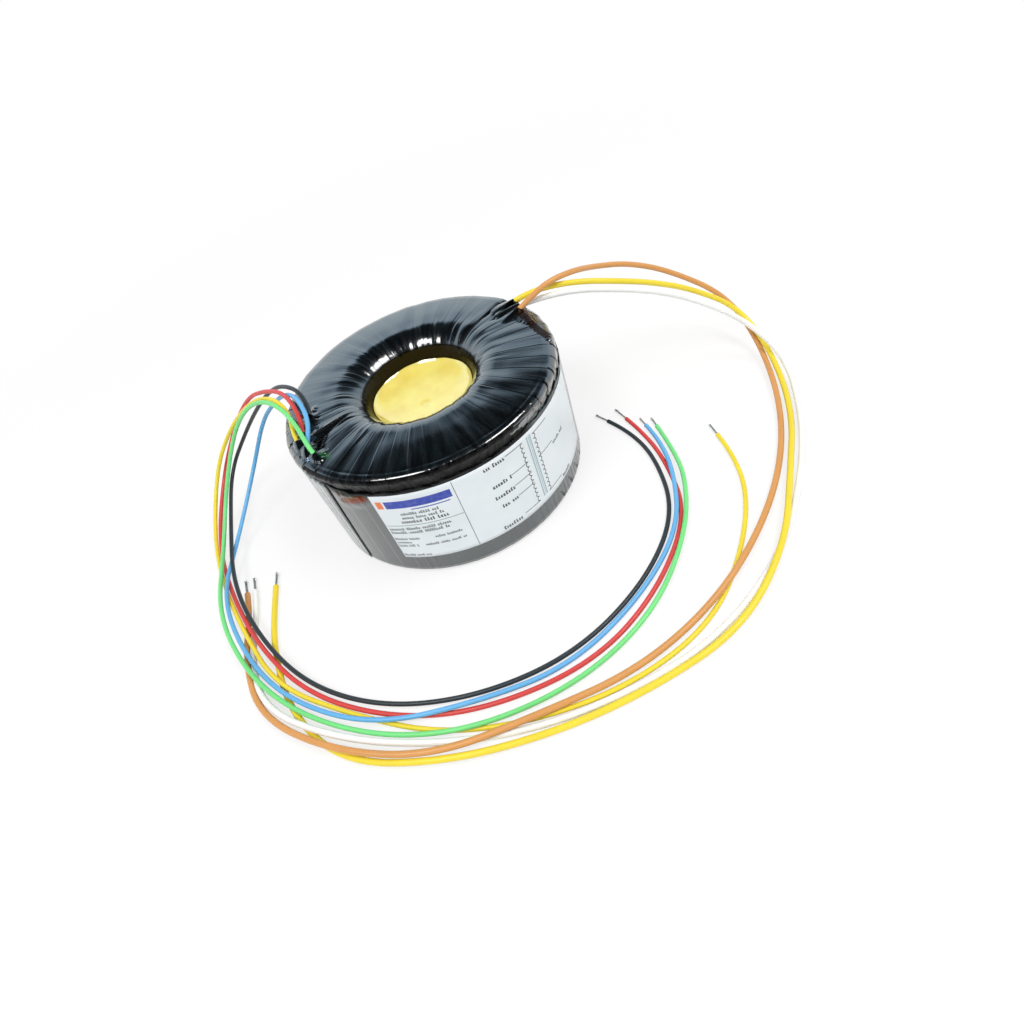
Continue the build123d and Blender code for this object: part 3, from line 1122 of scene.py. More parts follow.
@dataclass
class SideBand:
    """Film round the side, one turn whose free end laps over its start."""

    wall: float = 0.25
    end_angle: float = -140.0
    end_slant: float = -3.4
    overlap: float = 34.0
    lip: float = 0.35
    lap_count: int = 45
    lap_rib: float = 0.10
    # The lap's colour here and the loose film's colour below are painted reflections on the film.
    lap_reflection: str = "#A9AEB0"
    edge_width: float = 1.6
    clear_top: float = 3.0
    painted_reflection: str = "#E4EAEC"
    painted_reflection_share: float = 0.8
    ticks: tuple[float, float] = (-54.0, 20.0)
    tick_share: float = 0.9
    ridge_limit: float = 0.25
    lap_reflection_share: float = 0.6
    painted_reflection_sets_in: tuple[float, float] = (140.5, 144.0)
    painted_reflection_fades: tuple[float, float] = (165.0, 176.0)
    tick_width: float = 0.16
    tick_height: float = 4.2
    tick_lean: float = 0.05
    clear_from: tuple[float, float] = (-142.0, -44.0)
    clear_share: float = 0.99
    buried: list[Buried] = field(default_factory=list)

    def marks(self, angle: Array, height: Array, over: Array, bottom: float, top: float) -> tuple[Array, Array]:
        """Work out what shows through the film, and the painted shade of the ticks at its foot where the tape's laps
        end.

        Over the lap, and on the film beside its cut end, the colour is lightened: a painted reflection. The upper edge
        at the front is clear. A
        tick is painted shade: a black wedge at the start of each lap, narrowing upwards, each of its own height.

        Args:
            angle: polar angle of each point, in degrees.
            height: height of each point.
            over: how far each row has risen over the lap, 0 to 1.
            bottom: height of the film's lower edge.
            top: height of its upper edge.

        Returns:
            Colour and amount of what shows through, and whether each point lies in a tick.
        """
        tint = np.zeros((*height.shape, 4))
        # Painted reflection: the film is lightened over the lap, more towards its cut end.
        tint[..., :3] = linear(self.lap_reflection)[:3]
        tint[..., 3] = self.lap_reflection_share * over * np.ones_like(height)
        place = (angle + 180) % 360 - 180
        # Painted reflection on the film beside its cut end, varying round the side.
        painted_reflection_amount = fade(-place, *self.painted_reflection_sets_in) * (1 - fade(-place, *self.painted_reflection_fades))
        painted_reflection_amount = painted_reflection_amount * (0.7 + 0.3 * np.sin(1.9 * place + 1.0))
        paint(tint, self.painted_reflection_share * painted_reflection_amount, self.painted_reflection)
        # Ticks: painted shade, black wedges at the film's foot where each lap of the tape ends.
        low_tick, high_tick = self.ticks
        lap, tooth = np.divmod(place * self.lap_count / 360 + self.tick_lean * (height - bottom), 1)
        reach = bottom + self.tick_height + 1.6 * np.sin(7.3 * lap)
        wide = self.tick_width * np.clip((reach - height) / 3.0, 0.4, 1.0)
        tick = (tooth < wide) * (place > low_tick) * (place < high_tick) * (height < reach)
        blacken(tint, tick, self.tick_share)
        low_end, high_end = self.clear_from
        front = fade(place, low_end, low_end + 4) * (1 - fade(place, high_end - 14, high_end))
        blacken(tint, self.clear_share * front * fade(height, top - self.clear_top, top - self.clear_top + 0.6))
        return tint, tick

    def build(self) -> bpy.types.Object:
        """Build the film.

        Its radius is that of the band, rising over the lap; its upper edge waves by half a millimetre.

        Returns:
            The piece.
        """
        low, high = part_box("side_band")
        outer, bottom, top = high.x / MM, low.z / MM, high.z / MM
        rows, columns = 1200, 40
        turn = np.linspace(0, 360 + self.overlap, rows)[:, None]
        level = np.linspace(0, 1, columns)[None, :]
        random = np.random.default_rng(21)
        angle = self.end_angle - 360 - self.overlap + turn
        angle = angle + self.end_slant * (1 - level) * fade(turn, 330, 360 + self.overlap)
        wave = sum(
            random.uniform(0.05, 0.18) * np.sin(np.radians(turn) * count + random.uniform(0, 6))
            for count in (7, 13, 22, 31, 47)
        )
        rib = sum(
            random.uniform(0.01, 0.03) * np.sin(np.radians(turn) * count + random.uniform(0, 6) + 0.8 * level)
            for count in (45, 90, 133, 171)
        ) * (1 - 0.85 * fade(turn, 352, 362)) * fade(turn, 54, 62)
        height = bottom + (top - bottom + wave) * level
        over = fade(turn, 360, 360 + self.overlap)
        under = fade(-turn, -self.overlap, 0)
        radius = outer - 0.02 + rib + self.lip * over - 0.1 * under
        radius = radius - self.lap_rib * ((turn * self.lap_count / 360) % 1) * (1 - over)
        points = polar(radius, angle, height)
        normals = polar(np.ones_like(radius), angle, np.zeros_like(height))
        tint, tick = self.marks(angle, height, over, bottom, top)
        for stretch in self.buried:
            lift, share = stretch.lift(points, normals)
            points = points + normals * np.minimum(lift, self.ridge_limit)[..., None]
            paint(tint, share, stretch.colour)
        # Painted shadow: the film's last stretch at its cut end is black, where its lifted edge shades the gap under
        # it.
        cut = 360 + self.overlap - self.edge_width
        edge = fade(turn, cut, cut + 0.3) * np.ones_like(level)
        tint[..., :3] = np.where((edge > 0.5)[..., None], np.array(linear("#050505")[:3]), tint[..., :3])
        tint[..., 3] = np.maximum(tint[..., 3], edge)
        piece = mesh_piece("stretched_film", points, grid_faces(rows, columns, False, False).tolist())
        turns = np.radians(angle) + np.zeros_like(height)
        store(piece, "winding", np.stack([np.cos(turns), np.sin(turns), height + 0 * turns], -1))
        store(piece, "beneath", tint)
        wall = piece.modifiers.new("Film", "SOLIDIFY")
        wall.thickness = self.wall * MM
        wall.offset = -1
        FILM.dress(piece, "band_film")
        piece.data.materials.append(PLEATED.material())
        # The painted-shade ticks take the pleated finish.
        piece.data.polygons.foreach_set("material_index", tick[:-1, :-1].astype(np.int32).ravel())
        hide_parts("side_band")
        return piece


@dataclass
class Label:
    """Printed label on the band. Places on it are millimetres along it from its left end, and up."""

    start_angle: float = -121.5
    lift: float = 0.03

    def __post_init__(self) -> None:
        """Read the label's size from the frame."""
        low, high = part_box("label")
        self.bottom, self.top = low.z / MM, high.z / MM
        self.radius = -low.y / MM
        end = math.degrees(math.acos(min(1.0, high.x / MM / self.radius)))
        self.length = math.radians(-end - self.start_angle) * self.radius

    def place(self, along: Array, up: Array, lift: float) -> Array:
        """Carry places on the flat label to the ring: the angle is the way along over the radius."""
        angle = self.start_angle + np.degrees(along / self.radius)
        return polar(self.radius + lift, angle, self.bottom + up)

    def sheet(self) -> bpy.types.Object:
        """Build the label's film, a grid bent round the band.

        Returns:
            The piece.
        """
        along = np.linspace(0, self.length, 160)[:, None]
        up = np.linspace(0, self.top - self.bottom, 24)[None, :]
        points = self.place(along, up, 0.0)
        piece = mesh_piece("label_film", points, grid_faces(160, 24, False, False).tolist())
        wall = piece.modifiers.new("Film", "SOLIDIFY")
        wall.thickness = 0.12 * MM
        wall.offset = -1
        LABEL_FILM.dress(piece, "label_film")
        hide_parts("label")
        return piece

    def bars(self, rows: list[tuple[float, float, float, float]]) -> tuple[Array, NDArray[np.int64]]:
        """Build bars that lie on the label.

        Args:
            rows: left, low, width and height of each bar, in millimetres.

        Returns:
            Their points and faces.
        """
        points, faces, count = [], [], 0
        for left, low, width, height in rows:
            steps = max(2, int(width / 1.5) + 2)
            along = np.linspace(left, left + width, steps)[:, None]
            up = np.array([low, low + height])[None, :]
            points.append(self.place(along, up, self.lift).reshape(-1, 3))
            faces.append(grid_faces(steps, 2, False, False) + count)
            count += 2 * steps
        return np.concatenate(points), np.concatenate(faces)

    def ribbon(self, along: Array, up: Array, width: float) -> tuple[Array, NDArray[np.int64]]:
        """Build a drawn line of some width that follows a path on the label.

        Args:
            along: way along the label of each point of the path.
            up: height of each point of the path.
            width: width of the line.

        Returns:
            Its points and faces.
        """
        ahead = np.gradient(np.stack([along, up], -1), axis=0)
        ahead /= np.linalg.norm(ahead, axis=1, keepdims=True)
        side = np.stack([-ahead[:, 1], ahead[:, 0]], -1) * width / 2
        path = np.stack([along, up], -1)
        edges = np.stack([path + side, path - side], 1)
        points = self.place(edges[..., 0], edges[..., 1], self.lift)
        return points.reshape(-1, 3), grid_faces(len(along), 2, False, False)[:, ::-1]

    def words(self, left: float, low: float, width: float, height: float, seed: int) -> list:
        """Work out a line of dummy text: short upright marks grouped as words, none of them a letter.

        Args:
            left: where the line begins.
            low: its foot.
            width: its length.
            height: height of its marks.
            seed: which line it is.

        Returns:
            Bars.
        """
        random = np.random.default_rng(seed)
        bars, here = [], left
        while here < left + width:
            for _ in range(random.integers(3, 9)):
                mark = height * random.uniform(0.28, 0.5)
                if here + mark > left + width:
                    break
                rise = height * random.choice([0.7, 0.7, 1.0])
                bars.append((here, low, mark, 0.28 * height))
                bars.append((here, low, 0.28 * height, rise))
                if random.random() < 0.6:
                    bars.append((here, low + rise - 0.26 * height, mark, 0.26 * height))
                here += mark + 0.2 * height
            here += 0.55 * height
        return bars

    def coil(self, along: float, low: float, high: float, turns: int, bulge: float) -> tuple[Array, Array]:
        """Work out a winding symbol: a chain of half circles, bulging to one side.

        Args:
            along: where the chain stands.
            low: its foot.
            high: its head.
            turns: number of half circles.
            bulge: how far each one swings to the side.

        Returns:
            Way along the label and height of each point.
        """
        step = np.linspace(0, turns, turns * 12 + 1)
        swing = np.sqrt(np.maximum(1 - (2 * (step % 1) - 1) ** 2, 0))
        return along + bulge * swing, low + (high - low) * step / turns

    def artwork(self) -> list[tuple[str, Finish, list]]:
        """Lay the print out: a heading bar, dummy text, rules, and the symbol of a tapped transformer.

        Returns:
            Name, ink and shapes of each piece of print.
        """
        tall = self.top - self.bottom
        black_bars = [(32.9, 0.4, 0.22, tall - 0.8), (0.6, 20.8, 32.0, 0.22)]
        lines = [
            (9.4, 27.0, 16.5, 1.5), (9.2, 24.7, 17.0, 1.5), (8.0, 22.2, 19.2, 1.9),
            (0.9, 18.1, 27.4, 1.6), (0.9, 15.9, 25.0, 1.6),
            (0.6, 11.8, 11.8, 1.4), (18.0, 11.6, 12.6, 1.4),
            (0.6, 9.6, 7.2, 1.4), (12.6, 7.5, 17.4, 1.4), (0.6, 7.4, 9.2, 1.4),
            (0.6, 1.2, 12.0, 1.3),
            (45.6, 35.0, 9.6, 1.9), (46.6, 24.8, 9.0, 1.9), (46.0, 18.8, 9.4, 1.9),
            (47.6, 13.2, 8.0, 1.9), (44.8, 1.6, 10.4, 1.9),
            (79.8, 21.4, 9.6, 1.6), (80.6, 1.2, 8.0, 1.6),
        ]
        for seed, line in enumerate(lines):
            black_bars += self.words(*line, seed)
        drawn = [self.bars(black_bars)]
        for low in (36.2, 26.1, 20.2, 14.4, 3.2):
            drawn.append(self.ribbon(np.linspace(55.4, 64.2, 12), np.full(12, low), 0.3))
        for low in (35.8, 23.6, 3.4):
            drawn.append(self.ribbon(np.linspace(70.0, 79.6, 12), np.full(12, low), 0.3))
        drawn.append(self.ribbon(*self.coil(64.2, 3.2, 36.2, 13, -1.3), 0.34))
        drawn.append(self.ribbon(*self.coil(70.0, 3.4, 35.8, 13, 1.3), 0.34))
        blue = [self.bars([(5.0, 31.2, 26.6, 4.0), (14.6, 29.7, 15.6, 0.5)])]
        orange = [self.bars([(1.4, 31.2, 2.6, 4.0)])]
        core = [self.bars([(66.5, 3.4, 0.6, 33.4), (67.6, 3.4, 0.35, 33.4), (68.3, 3.4, 0.6, 33.4)])]
        return [
            ("label_print_black", BLACK_INK, drawn),
            ("label_print_blue", BLUE_INK, blue),
            ("label_print_orange", ORANGE_INK, orange),
            ("label_print_core", STEEL_INK, core),
        ]

    def build(self) -> list[bpy.types.Object]:
        """Build the label and its print, one piece for each ink.

        Returns:
            The pieces.
        """
        pieces = [self.sheet()]
        for name, ink, parts in self.artwork():
            points = np.concatenate([part[0] for part in parts])
            counts = np.cumsum([0] + [len(part[0]) for part in parts[:-1]])
            faces = np.concatenate([part[1] + count for part, count in zip(parts, counts)])
            piece = mesh_piece(name, points, faces.tolist())
            ink.dress(piece, "label_film")
            pieces.append(piece)
        return pieces


# --- potting


@dataclass
class Potting:
    """Free surface of the resin in the hole, with its meniscus and a dimple."""

    hole_radius: float = 22.0
    dish: float = 0.7
    skin: float = 0.12
    meniscus: float = 2.2
    climb: float = 2.1
    dimple: tuple[float, float] = (-0.5, -6.1)
    dimple_width: float = 1.7

    def surface(self) -> bpy.types.Object:
        """Build the free surface of the resin.

        Its height is a shallow dish, plus a meniscus that climbs by an exponential of the distance to the
        wall, less a dimple, plus a slow ripple.

        Returns:
            The piece.
        """
        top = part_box("resin_filling")[1].z / MM
        rows, columns = 360, 72
        random = np.random.default_rng(31)
        turn = np.linspace(0, 360, rows, endpoint=False)[:, None]
        share = np.linspace(0, 1, columns)[None, :]
        reach = self.hole_radius + 0.3
        radius = reach * share**0.8
        wave = sum(
            random.uniform(0.03, 0.09) * np.sin(np.radians(turn) * count + random.uniform(0, 6))
            for count in (2, 3, 5, 9, 14)
        )
        level = top - self.dish + self.skin + self.dish * (radius / self.hole_radius) ** 2
        climb = (self.climb + wave) * np.exp(-(reach - radius) / self.meniscus)
        points = polar(radius, turn, level + climb)
        away = np.hypot(points[..., 0] - self.dimple[0], points[..., 1] - self.dimple[1])
        pit = np.hypot(points[..., 0] - self.dimple[0] - 0.5, points[..., 1] - self.dimple[1] + 0.3)
        dip = 0.7 * np.exp(-((away / self.dimple_width) ** 2)) + 1.2 * np.exp(-((pit / 0.5) ** 2))
        ripple = 0.02 * np.sin(points[..., 0] / 4.1 + 1.0) * np.cos(points[..., 1] / 5.3)
        points[..., 2] += ripple + self.skin * 0.2 - 0.6 * dip
        piece = mesh_piece("resin_surface", points, grid_faces(rows, columns, True, False)[:, ::-1].tolist(), weld=True)
        RESIN.dress(piece, "potting_resin")
        return piece

    def build(self) -> list[bpy.types.Object]:
        """Build the surface; Solids dresses the filling and the insert."""
        return [self.surface()]


# --- leads


@dataclass
class Lead:
    """A flexible lead: stranded copper in PVC, from its start under the tape to its bare end."""

    side: str
    colour: Sleeve
    slot: str
    diameter: float
    exit: tuple[float, float, float]
    route: list[tuple[float, float, float]]
    bare: float
    held: float = 0.5

    @property
    def label(self) -> str:
        """Return the lead's colour in lower case, as the nodes spell it."""
        return self.colour.name.lower()

    def sleeve(self) -> bpy.types.Object:
        """Build the insulated lead as a curve: the route's points are the control points of its spline.

        Returns:
            The piece.
        """
        curve = bpy.data.curves.new(f"{self.side}_lead_{self.label}_sleeve", "CURVE")
        curve.dimensions = "3D"
        curve.bevel_depth = 1.0
        curve.bevel_resolution = 4
        curve.use_fill_caps = True
        spline = curve.splines.new("NURBS")
        spline.points.add(len(self.route) - 1)
        for point, place in zip(spline.points, self.route):
            point.co = (place[0] * MM, place[1] * MM, place[2] * MM, 1.0)
            point.radius = self.diameter / 2 * MM
        spline.order_u = 3
        spline.use_endpoint_u = True
        spline.resolution_u = 14
        piece = bpy.data.objects.new(curve.name, curve)
        bpy.context.scene.collection.objects.link(piece)
        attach(piece, "root")
        self.colour.value.dress(piece, self.slot)
        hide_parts(f"{self.side}_lead_{self.label}")
        return piece

    def strands(self) -> bpy.types.Object:
        """Build the bare end: strands twisted round one another, fraying a little at the cut.

        Strand number k lies on a helix about the lead's axis, its radius opening towards the end, and is a
        round bar about that helix.

        Returns:
            The piece.
        """
        end, before = np.array(self.route[-1]), np.array(self.route[-2])
        ahead = (end - before) / np.linalg.norm(end - before)
        side = np.cross(ahead, [0.0, 0.0, 1.0])
        side /= np.linalg.norm(side)
        up = np.cross(side, ahead)
        strand = self.diameter * 0.085
        count, rings, sides = 9, 36, 8
        random = np.random.default_rng(int(self.diameter * 10) + len(self.label))
        share = np.linspace(0, 1, rings)
        around = np.linspace(0, 2 * np.pi, sides, endpoint=False)
        round_bar = strand * (np.outer(np.cos(around), side) + np.outer(np.sin(around), up))
        points, faces = [], []
        for number in range(count):
            orbit = 0.0 if number == 0 else strand * (1.85 if number < 8 else 2.2)
            away = orbit + random.uniform(0.0, 2.0) * fade(share, 0.72, 1.0) * strand
            turn = 2 * np.pi * (number / (count - 1) + share * self.bare / 7.0)
            reach = self.bare * random.uniform(0.9, 1.0)
            axis = end + np.outer(share * reach - 0.6 * (1 - share), ahead)
            centre = axis + away[:, None] * (np.outer(np.cos(turn), side) + np.outer(np.sin(turn), up))
            points.append((centre[:, None, :] + round_bar[None, :, :]).reshape(-1, 3))
            first = number * rings * sides
            last = first + (rings - 1) * sides
            faces += (grid_faces(rings, sides, False, True) + first).tolist()
            faces.append([first + place for place in range(sides)][::-1])
            faces.append([last + place for place in range(sides)])
        points = np.concatenate(points)
        points[:, 2] = np.maximum(points[:, 2], 0.05)
        name = f"{self.side}_strands_{self.label}"
        piece = mesh_piece(name, points, faces)
        TINNED.dress(piece, "tinned_strands")
        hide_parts(f"{self.side}_tip_{self.label}")
        return piece

    def buried(self) -> list[Buried]:
        """Return the stretches over which the tape holds the lead down, up to where it comes out.

        A place on the lead's first arc is one less t squared times the first control point, plus 2t less 2t
        squared times the second, plus t squared times the middle of the second and third.

        Returns:
            The stretches, from the start of the lead on.
        """
        first, second, third = (np.array(point) for point in self.route[:3])
        places = [first + 0.35 * (first - second)]
        for share in (0.0, self.held / 2, self.held):
            places.append(
                (1 - share) ** 2 * first + 2 * share * (1 - share) * second + share**2 * (second + third) / 2
            )
        radius = self.diameter / 2 + 0.3
        # The tape over each stretch is blackened at half strength, and loses half its gloss.
        return [
            Buried(tuple(start), tuple(end), radius, "#000000", 0.5) for start, end in zip(places, places[1:])
        ]

    def build(self, length: float) -> list[bpy.types.Object]:
        """Args:
            length: real length of the insulated lead, in millimetres; not used.

        Returns:
            Both pieces.
        """
        sleeve = self.sleeve()
        strands = self.strands()
        return [sleeve, strands]


@dataclass
class Harness:
    """The eight leads: five of the primary on the left, three of the secondary on the right."""

    thin: float = 1.9
    thick: float = 2.5

    def leads(self) -> list[tuple[Lead, float]]:
        """Return each lead with its insulated length in millimetres.

        Returns:
            The leads, those on the left first.
        """
        green = [
            (-45, -31.5, 58), (-47, -27, 59.3), (-48.5, -22, 62), (-51, -12, 63.3), (-56, 1, 65.5),
            (-65, 14, 64.8), (-78, 26, 57), (-93, 33, 42), (-110, 26, 20), (-118.5, 0, 6.5),
            (-120, -38, 6.2), (-105.5, -75.5, 5), (-83.5, -102, 3.4), (-53, -122, 2.5), (-19.5, -131.5, 3.3),
            (19, -128, 1.6), (52, -113, 1.6), (76.5, -87.5, 3), (90, -60, 2.4), (93, -37, 1), (93, -24, 1),
        ]
        black = [
            (-47, -10, 58), (-47, -5, 59.2), (-46, 0, 61.2), (-48, 9, 65.5), (-56, 21, 63.7),
            (-65, 33, 57), (-77, 42, 47), (-94, 52, 30), (-112, 48, 13.6), (-114, 12, 8.6),
            (-113, -24, 6.5), (-101, -58.5, 4.1), (-81, -89.5, 3), (-52, -110, 1.6), (-16, -119.5, 1.6),
            (21, -117, 1.5), (55, -99, 1), (78, -74, 1), (84, -43, 1), (81, -21, 1), (75, -9, 1),
        ]
        blue = [
            (-49.5, -29, 57.3), (-50, -24, 59), (-48, -18.5, 60.2), (-46, -9, 63.4), (-49, 4, 65.9),
            (-56, 18, 61.2), (-66, 31, 52), (-80, 42, 38.5), (-94.5, 32, 21.4), (-112, 6, 5),
            (-119, -28.5, 5.4), (-107, -66.5, 4), (-87.5, -94.5, 3.8), (-57, -116, 3.8), (-18.5, -121.5, 2.5),
            (16, -121, 1.1), (50, -105, 1.2), (75.5, -83, 1.9), (86.5, -56, 3.5), (90, -33, 1.7), (89, -21, 1),
        ]
        red = [
            (-50.6, -19.8, 58.05), (-50.5, -15, 59.1), (-50, -9, 60.3), (-51, 1, 63.2), (-56, 15, 64.2),
            (-66, 28, 60.5), (-79, 42, 53), (-96, 50, 36.5), (-113, 42, 18), (-123, 9, 4.2),
            (-116, -25.5, 2.8), (-101.5, -62.5, 4.3), (-81.5, -93, 2.4), (-50, -115, 1), (-16, -125, 1),
            (25, -123, 1), (57, -105, 1), (82, -77, 1), (87, -47, 1), (86, -25, 1), (83, -12, 1),
        ]
        yellow = [
            (-52.5, -21, 57.8), (-53, -16, 59.1), (-54, -10.5, 60.4), (-54, -1, 62.8), (-59, 11, 64.6),
            (-69, 23, 61.1), (-81, 33, 53), (-97, 42, 39.5), (-114, 42, 22.5), (-125, 15, 5.1),
            (-120.5, -17, 3), (-108.5, -52, 3.8), (-94, -84.5, 3.9), (-66, -107, 1.7), (-36, -126.5, 1),
            (-2, -135.5, 1.2), (35, -136, 1.4), (69, -125, 1), (93, -101, 1), (108, -77, 1), (113, -55, 1),
            (113, -43, 1),
        ]
        brown = [
            (47, 13, 58.3), (52, 14.5, 59.6), (58, 16, 62), (68, 18, 65), (81, 22, 63), (93, 32, 55.5),
            (110, 36, 48.5), (129, 34, 38), (154, 26, 18.4), (158, 2, 4.4), (146, -37, 1.9), (128, -69, 1.6),
            (103, -97, 2.7), (72, -120, 3.6), (37, -132.5, 2.3), (0, -135, 4), (-39, -135, 4.2),
            (-73, -120, 5), (-102, -94, 2.6), (-109.5, -64, 1.3), (-107.5, -42, 1.3), (-109, -28, 1.3),
        ]
        thick_yellow = [
            (45.5, 22, 58.3), (51, 22, 59.5), (57, 21.5, 61), (67, 21, 61.2), (81, 18, 59.6), (96, 16, 54.5),
            (113, 18, 46), (132, 18, 35), (156, 17, 15.3), (158, -10, 4.3), (146, -47, 2.2), (126, -78, 2.7),
            (105, -109, 4.4), (76, -132, 2.2), (39, -140, 1.6), (3, -142, 1.8), (-35, -138, 3.1),
            (-71, -124, 1.8), (-90.5, -96, 1.3), (-96.5, -64, 1.3), (-96, -42, 1.3), (-95, -30, 1.3),
        ]
        white = [
            (46, 17.5, 58.3), (51, 18, 59.1), (57.5, 18.5, 58.9), (68, 18.5, 58), (80, 16, 56.8),
            (94, 13, 52.8), (111, 12, 45.5), (128, 7, 37), (152, 2, 17.6), (161, -18, 4.1), (146, -55, 1.7),
            (126, -85, 1.3), (102, -111, 1.3), (69, -131, 1.3), (35, -138, 1.3), (-2, -138.5, 1.3),
            (-38, -130, 1.3), (-71, -116, 4.6), (-100, -92, 3.9), (-106.5, -64, 1.3), (-104, -40, 1.3),
            (-105, -28, 1.3),
        ]
        left, right = "primary", "secondary"
        return [
            (Lead(left, Sleeve.GREEN, "sleeve_green", self.thin, (-47, -26, 59), green, 6.0, 0.35), 506),
            (Lead(left, Sleeve.BLACK, "sleeve_black", self.thin, (-47, -5, 59), black, 8.0, 0.85), 507),
            (Lead(left, Sleeve.BLUE, "sleeve_blue", self.thin, (-50.3, -23.3, 58.9), blue, 6.0, 0.8), 500),
            (Lead(left, Sleeve.RED, "sleeve_red", self.thin, (-50, -16, 59), red, 9.0, 0.8), 521),
            (Lead(left, Sleeve.YELLOW, "sleeve_yellow", self.thin, (-52.4, -15.6, 59), yellow, 7.5, 0.5), 523),
            (Lead(right, Sleeve.BROWN, "sleeve_brown", self.thick, (52.6, 16.4, 59), brown, 8.0, 0.45), 558),
            (Lead(right, Sleeve.YELLOW, "sleeve_yellow", self.thick, (51.4, 23.9, 58.5), thick_yellow, 8.0, 0.6), 548),
            (Lead(right, Sleeve.WHITE, "sleeve_white", self.thick, (51, 18, 59), white, 8.0, 0.7), 535),
        ]

    def build(self) -> list[bpy.types.Object]:
        """Build every lead with its bare end.

        Returns:
            The pieces.
        """
        pieces = []
        for lead, length in self.leads():
            pieces += lead.build(length)
        return pieces


@dataclass(frozen=True)
class ExitFolds:
    """How the tape is gathered round both exits, and what runs on under it beside them."""

    def folds(self) -> list[Fold]:
        """Return the folds, each from the exit towards the hole: left exit first, then right.

        Returns:
            The folds.
        """
        rim = [polar(np.array([58.6, 52.8]), angle, 0.0) for angle in (-166.5, -163.6, -161.0, -158.2, -155.6, -153.0)]
        crimps = [Fold(tuple(outer[:2]), tuple(inner[:2]), 0.6, 0.28, 0.55) for outer, inner in rim]
        return crimps + [
            Fold((-47.4, -28.0), (-41.4, -16.2), -1.3, 1.5, 1.9, 1.0),
            Fold((-45.6, -28.5), (-40.2, -15.2), 1.3, 0.45, 0.7),
            Fold((-45.8, -20.0), (-31.0, -10.6), -1.2, 1.1, 1.2, 1.0),
            Fold((-46.6, -22.4), (-33.5, -11.2), 0.9, 0.4, 0.6),
            Fold((-47.8, -15.8), (-28.0, -8.3), 0.6, 1.6, 0.5),
            Fold((-42.0, -17.4), (-27.5, -10.8), 0.5, 0.5, 1.2),
            Fold((-47.6, -7.4), (-43.4, -1.6), 0.9, 0.6, 0.9),
            Fold((-47.0, -3.8), (-42.6, -5.6), -0.8, 0.8, 0.8, 1.0),
            Fold((-46.2, -1.8), (-43.6, 4.6), 0.8, 0.9, 0.5),
            Fold((50.6, 30.8), (34.4, 18.6), -1.1, 0.9, 1.0, 1.0),
            Fold((51.6, 27.4), (40.0, 19.8), 1.0, 0.5, 0.9),
            Fold((53.4, 21.8), (38.0, 15.0), -1.3, 1.9, 1.7, 1.0),
            Fold((50.4, 21.0), (42.4, 17.2), 0.9, 0.4, 0.6),
            Fold((52.8, 13.4), (45.0, 11.4), -0.8, 0.9, 0.8, 0.8),
        ]

    def runs(self) -> list[Buried]:
        """Return the stretches of lead that show through: green at the left, brown along the right rim.

        Returns:
            The stretches.
        """
        rim = [(51.4, 14.2, 57.4), (52.4, 9.8, 57.4), (53.5, 4.4, 57.2), (54.3, -1.5, 57.0), (55.4, -6.6, 56.6),
               (56.2, -9.8, 56.3)]
        brown = [Buried(start, end, 1.9, "#1E0C04", 0.97) for start, end in zip(rim, rim[1:])]
        return [Buried((-41.4, -31.6, 57.0), (-43.2, -29.6, 57.4), 1.7, "#0B5A18", 0.6), *brown]

    def under_film(self) -> list[Buried]:
        """Return the orange stretch that shows through the film on the side."""
        bend = (-37.0, -47.4, 46.6)
        return [
            Buried((-41.9, -43.0, 44.7), bend, 1.8, "#7A2A04", 0.99),
            Buried(bend, (-33.4, -50.2, 48.2), 1.9, "#7A2A04", 0.99),
        ]


# --- solids kept from the frame


@dataclass
class Solids:
    """Solids whose shape is right as it is, and the finish that each one gets."""

    nodes: dict[str, object]

    def dress(self) -> list[str]:
        """Give each node its finish.

        Returns:
            The nodes' names.
        """
        finishes = {
            "steel_core": STRIP_STEEL,
            "core_insulation": INSULATION,
            "primary_winding_inner": ENAMELLED,
            "insulation_inner": INSULATION,
            "secondary_winding": ENAMELLED,
            "insulation_outer": INSULATION,
            "primary_winding_outer": ENAMELLED,
            "resin_filling": RESIN,
            "threaded_insert": BRASS,
        }
        for name, finish in finishes.items():
            piece = self.nodes[name]
            piece.data.materials.clear()
            piece.data.materials.append(finish.material())
        return list(finishes)


# --- surroundings


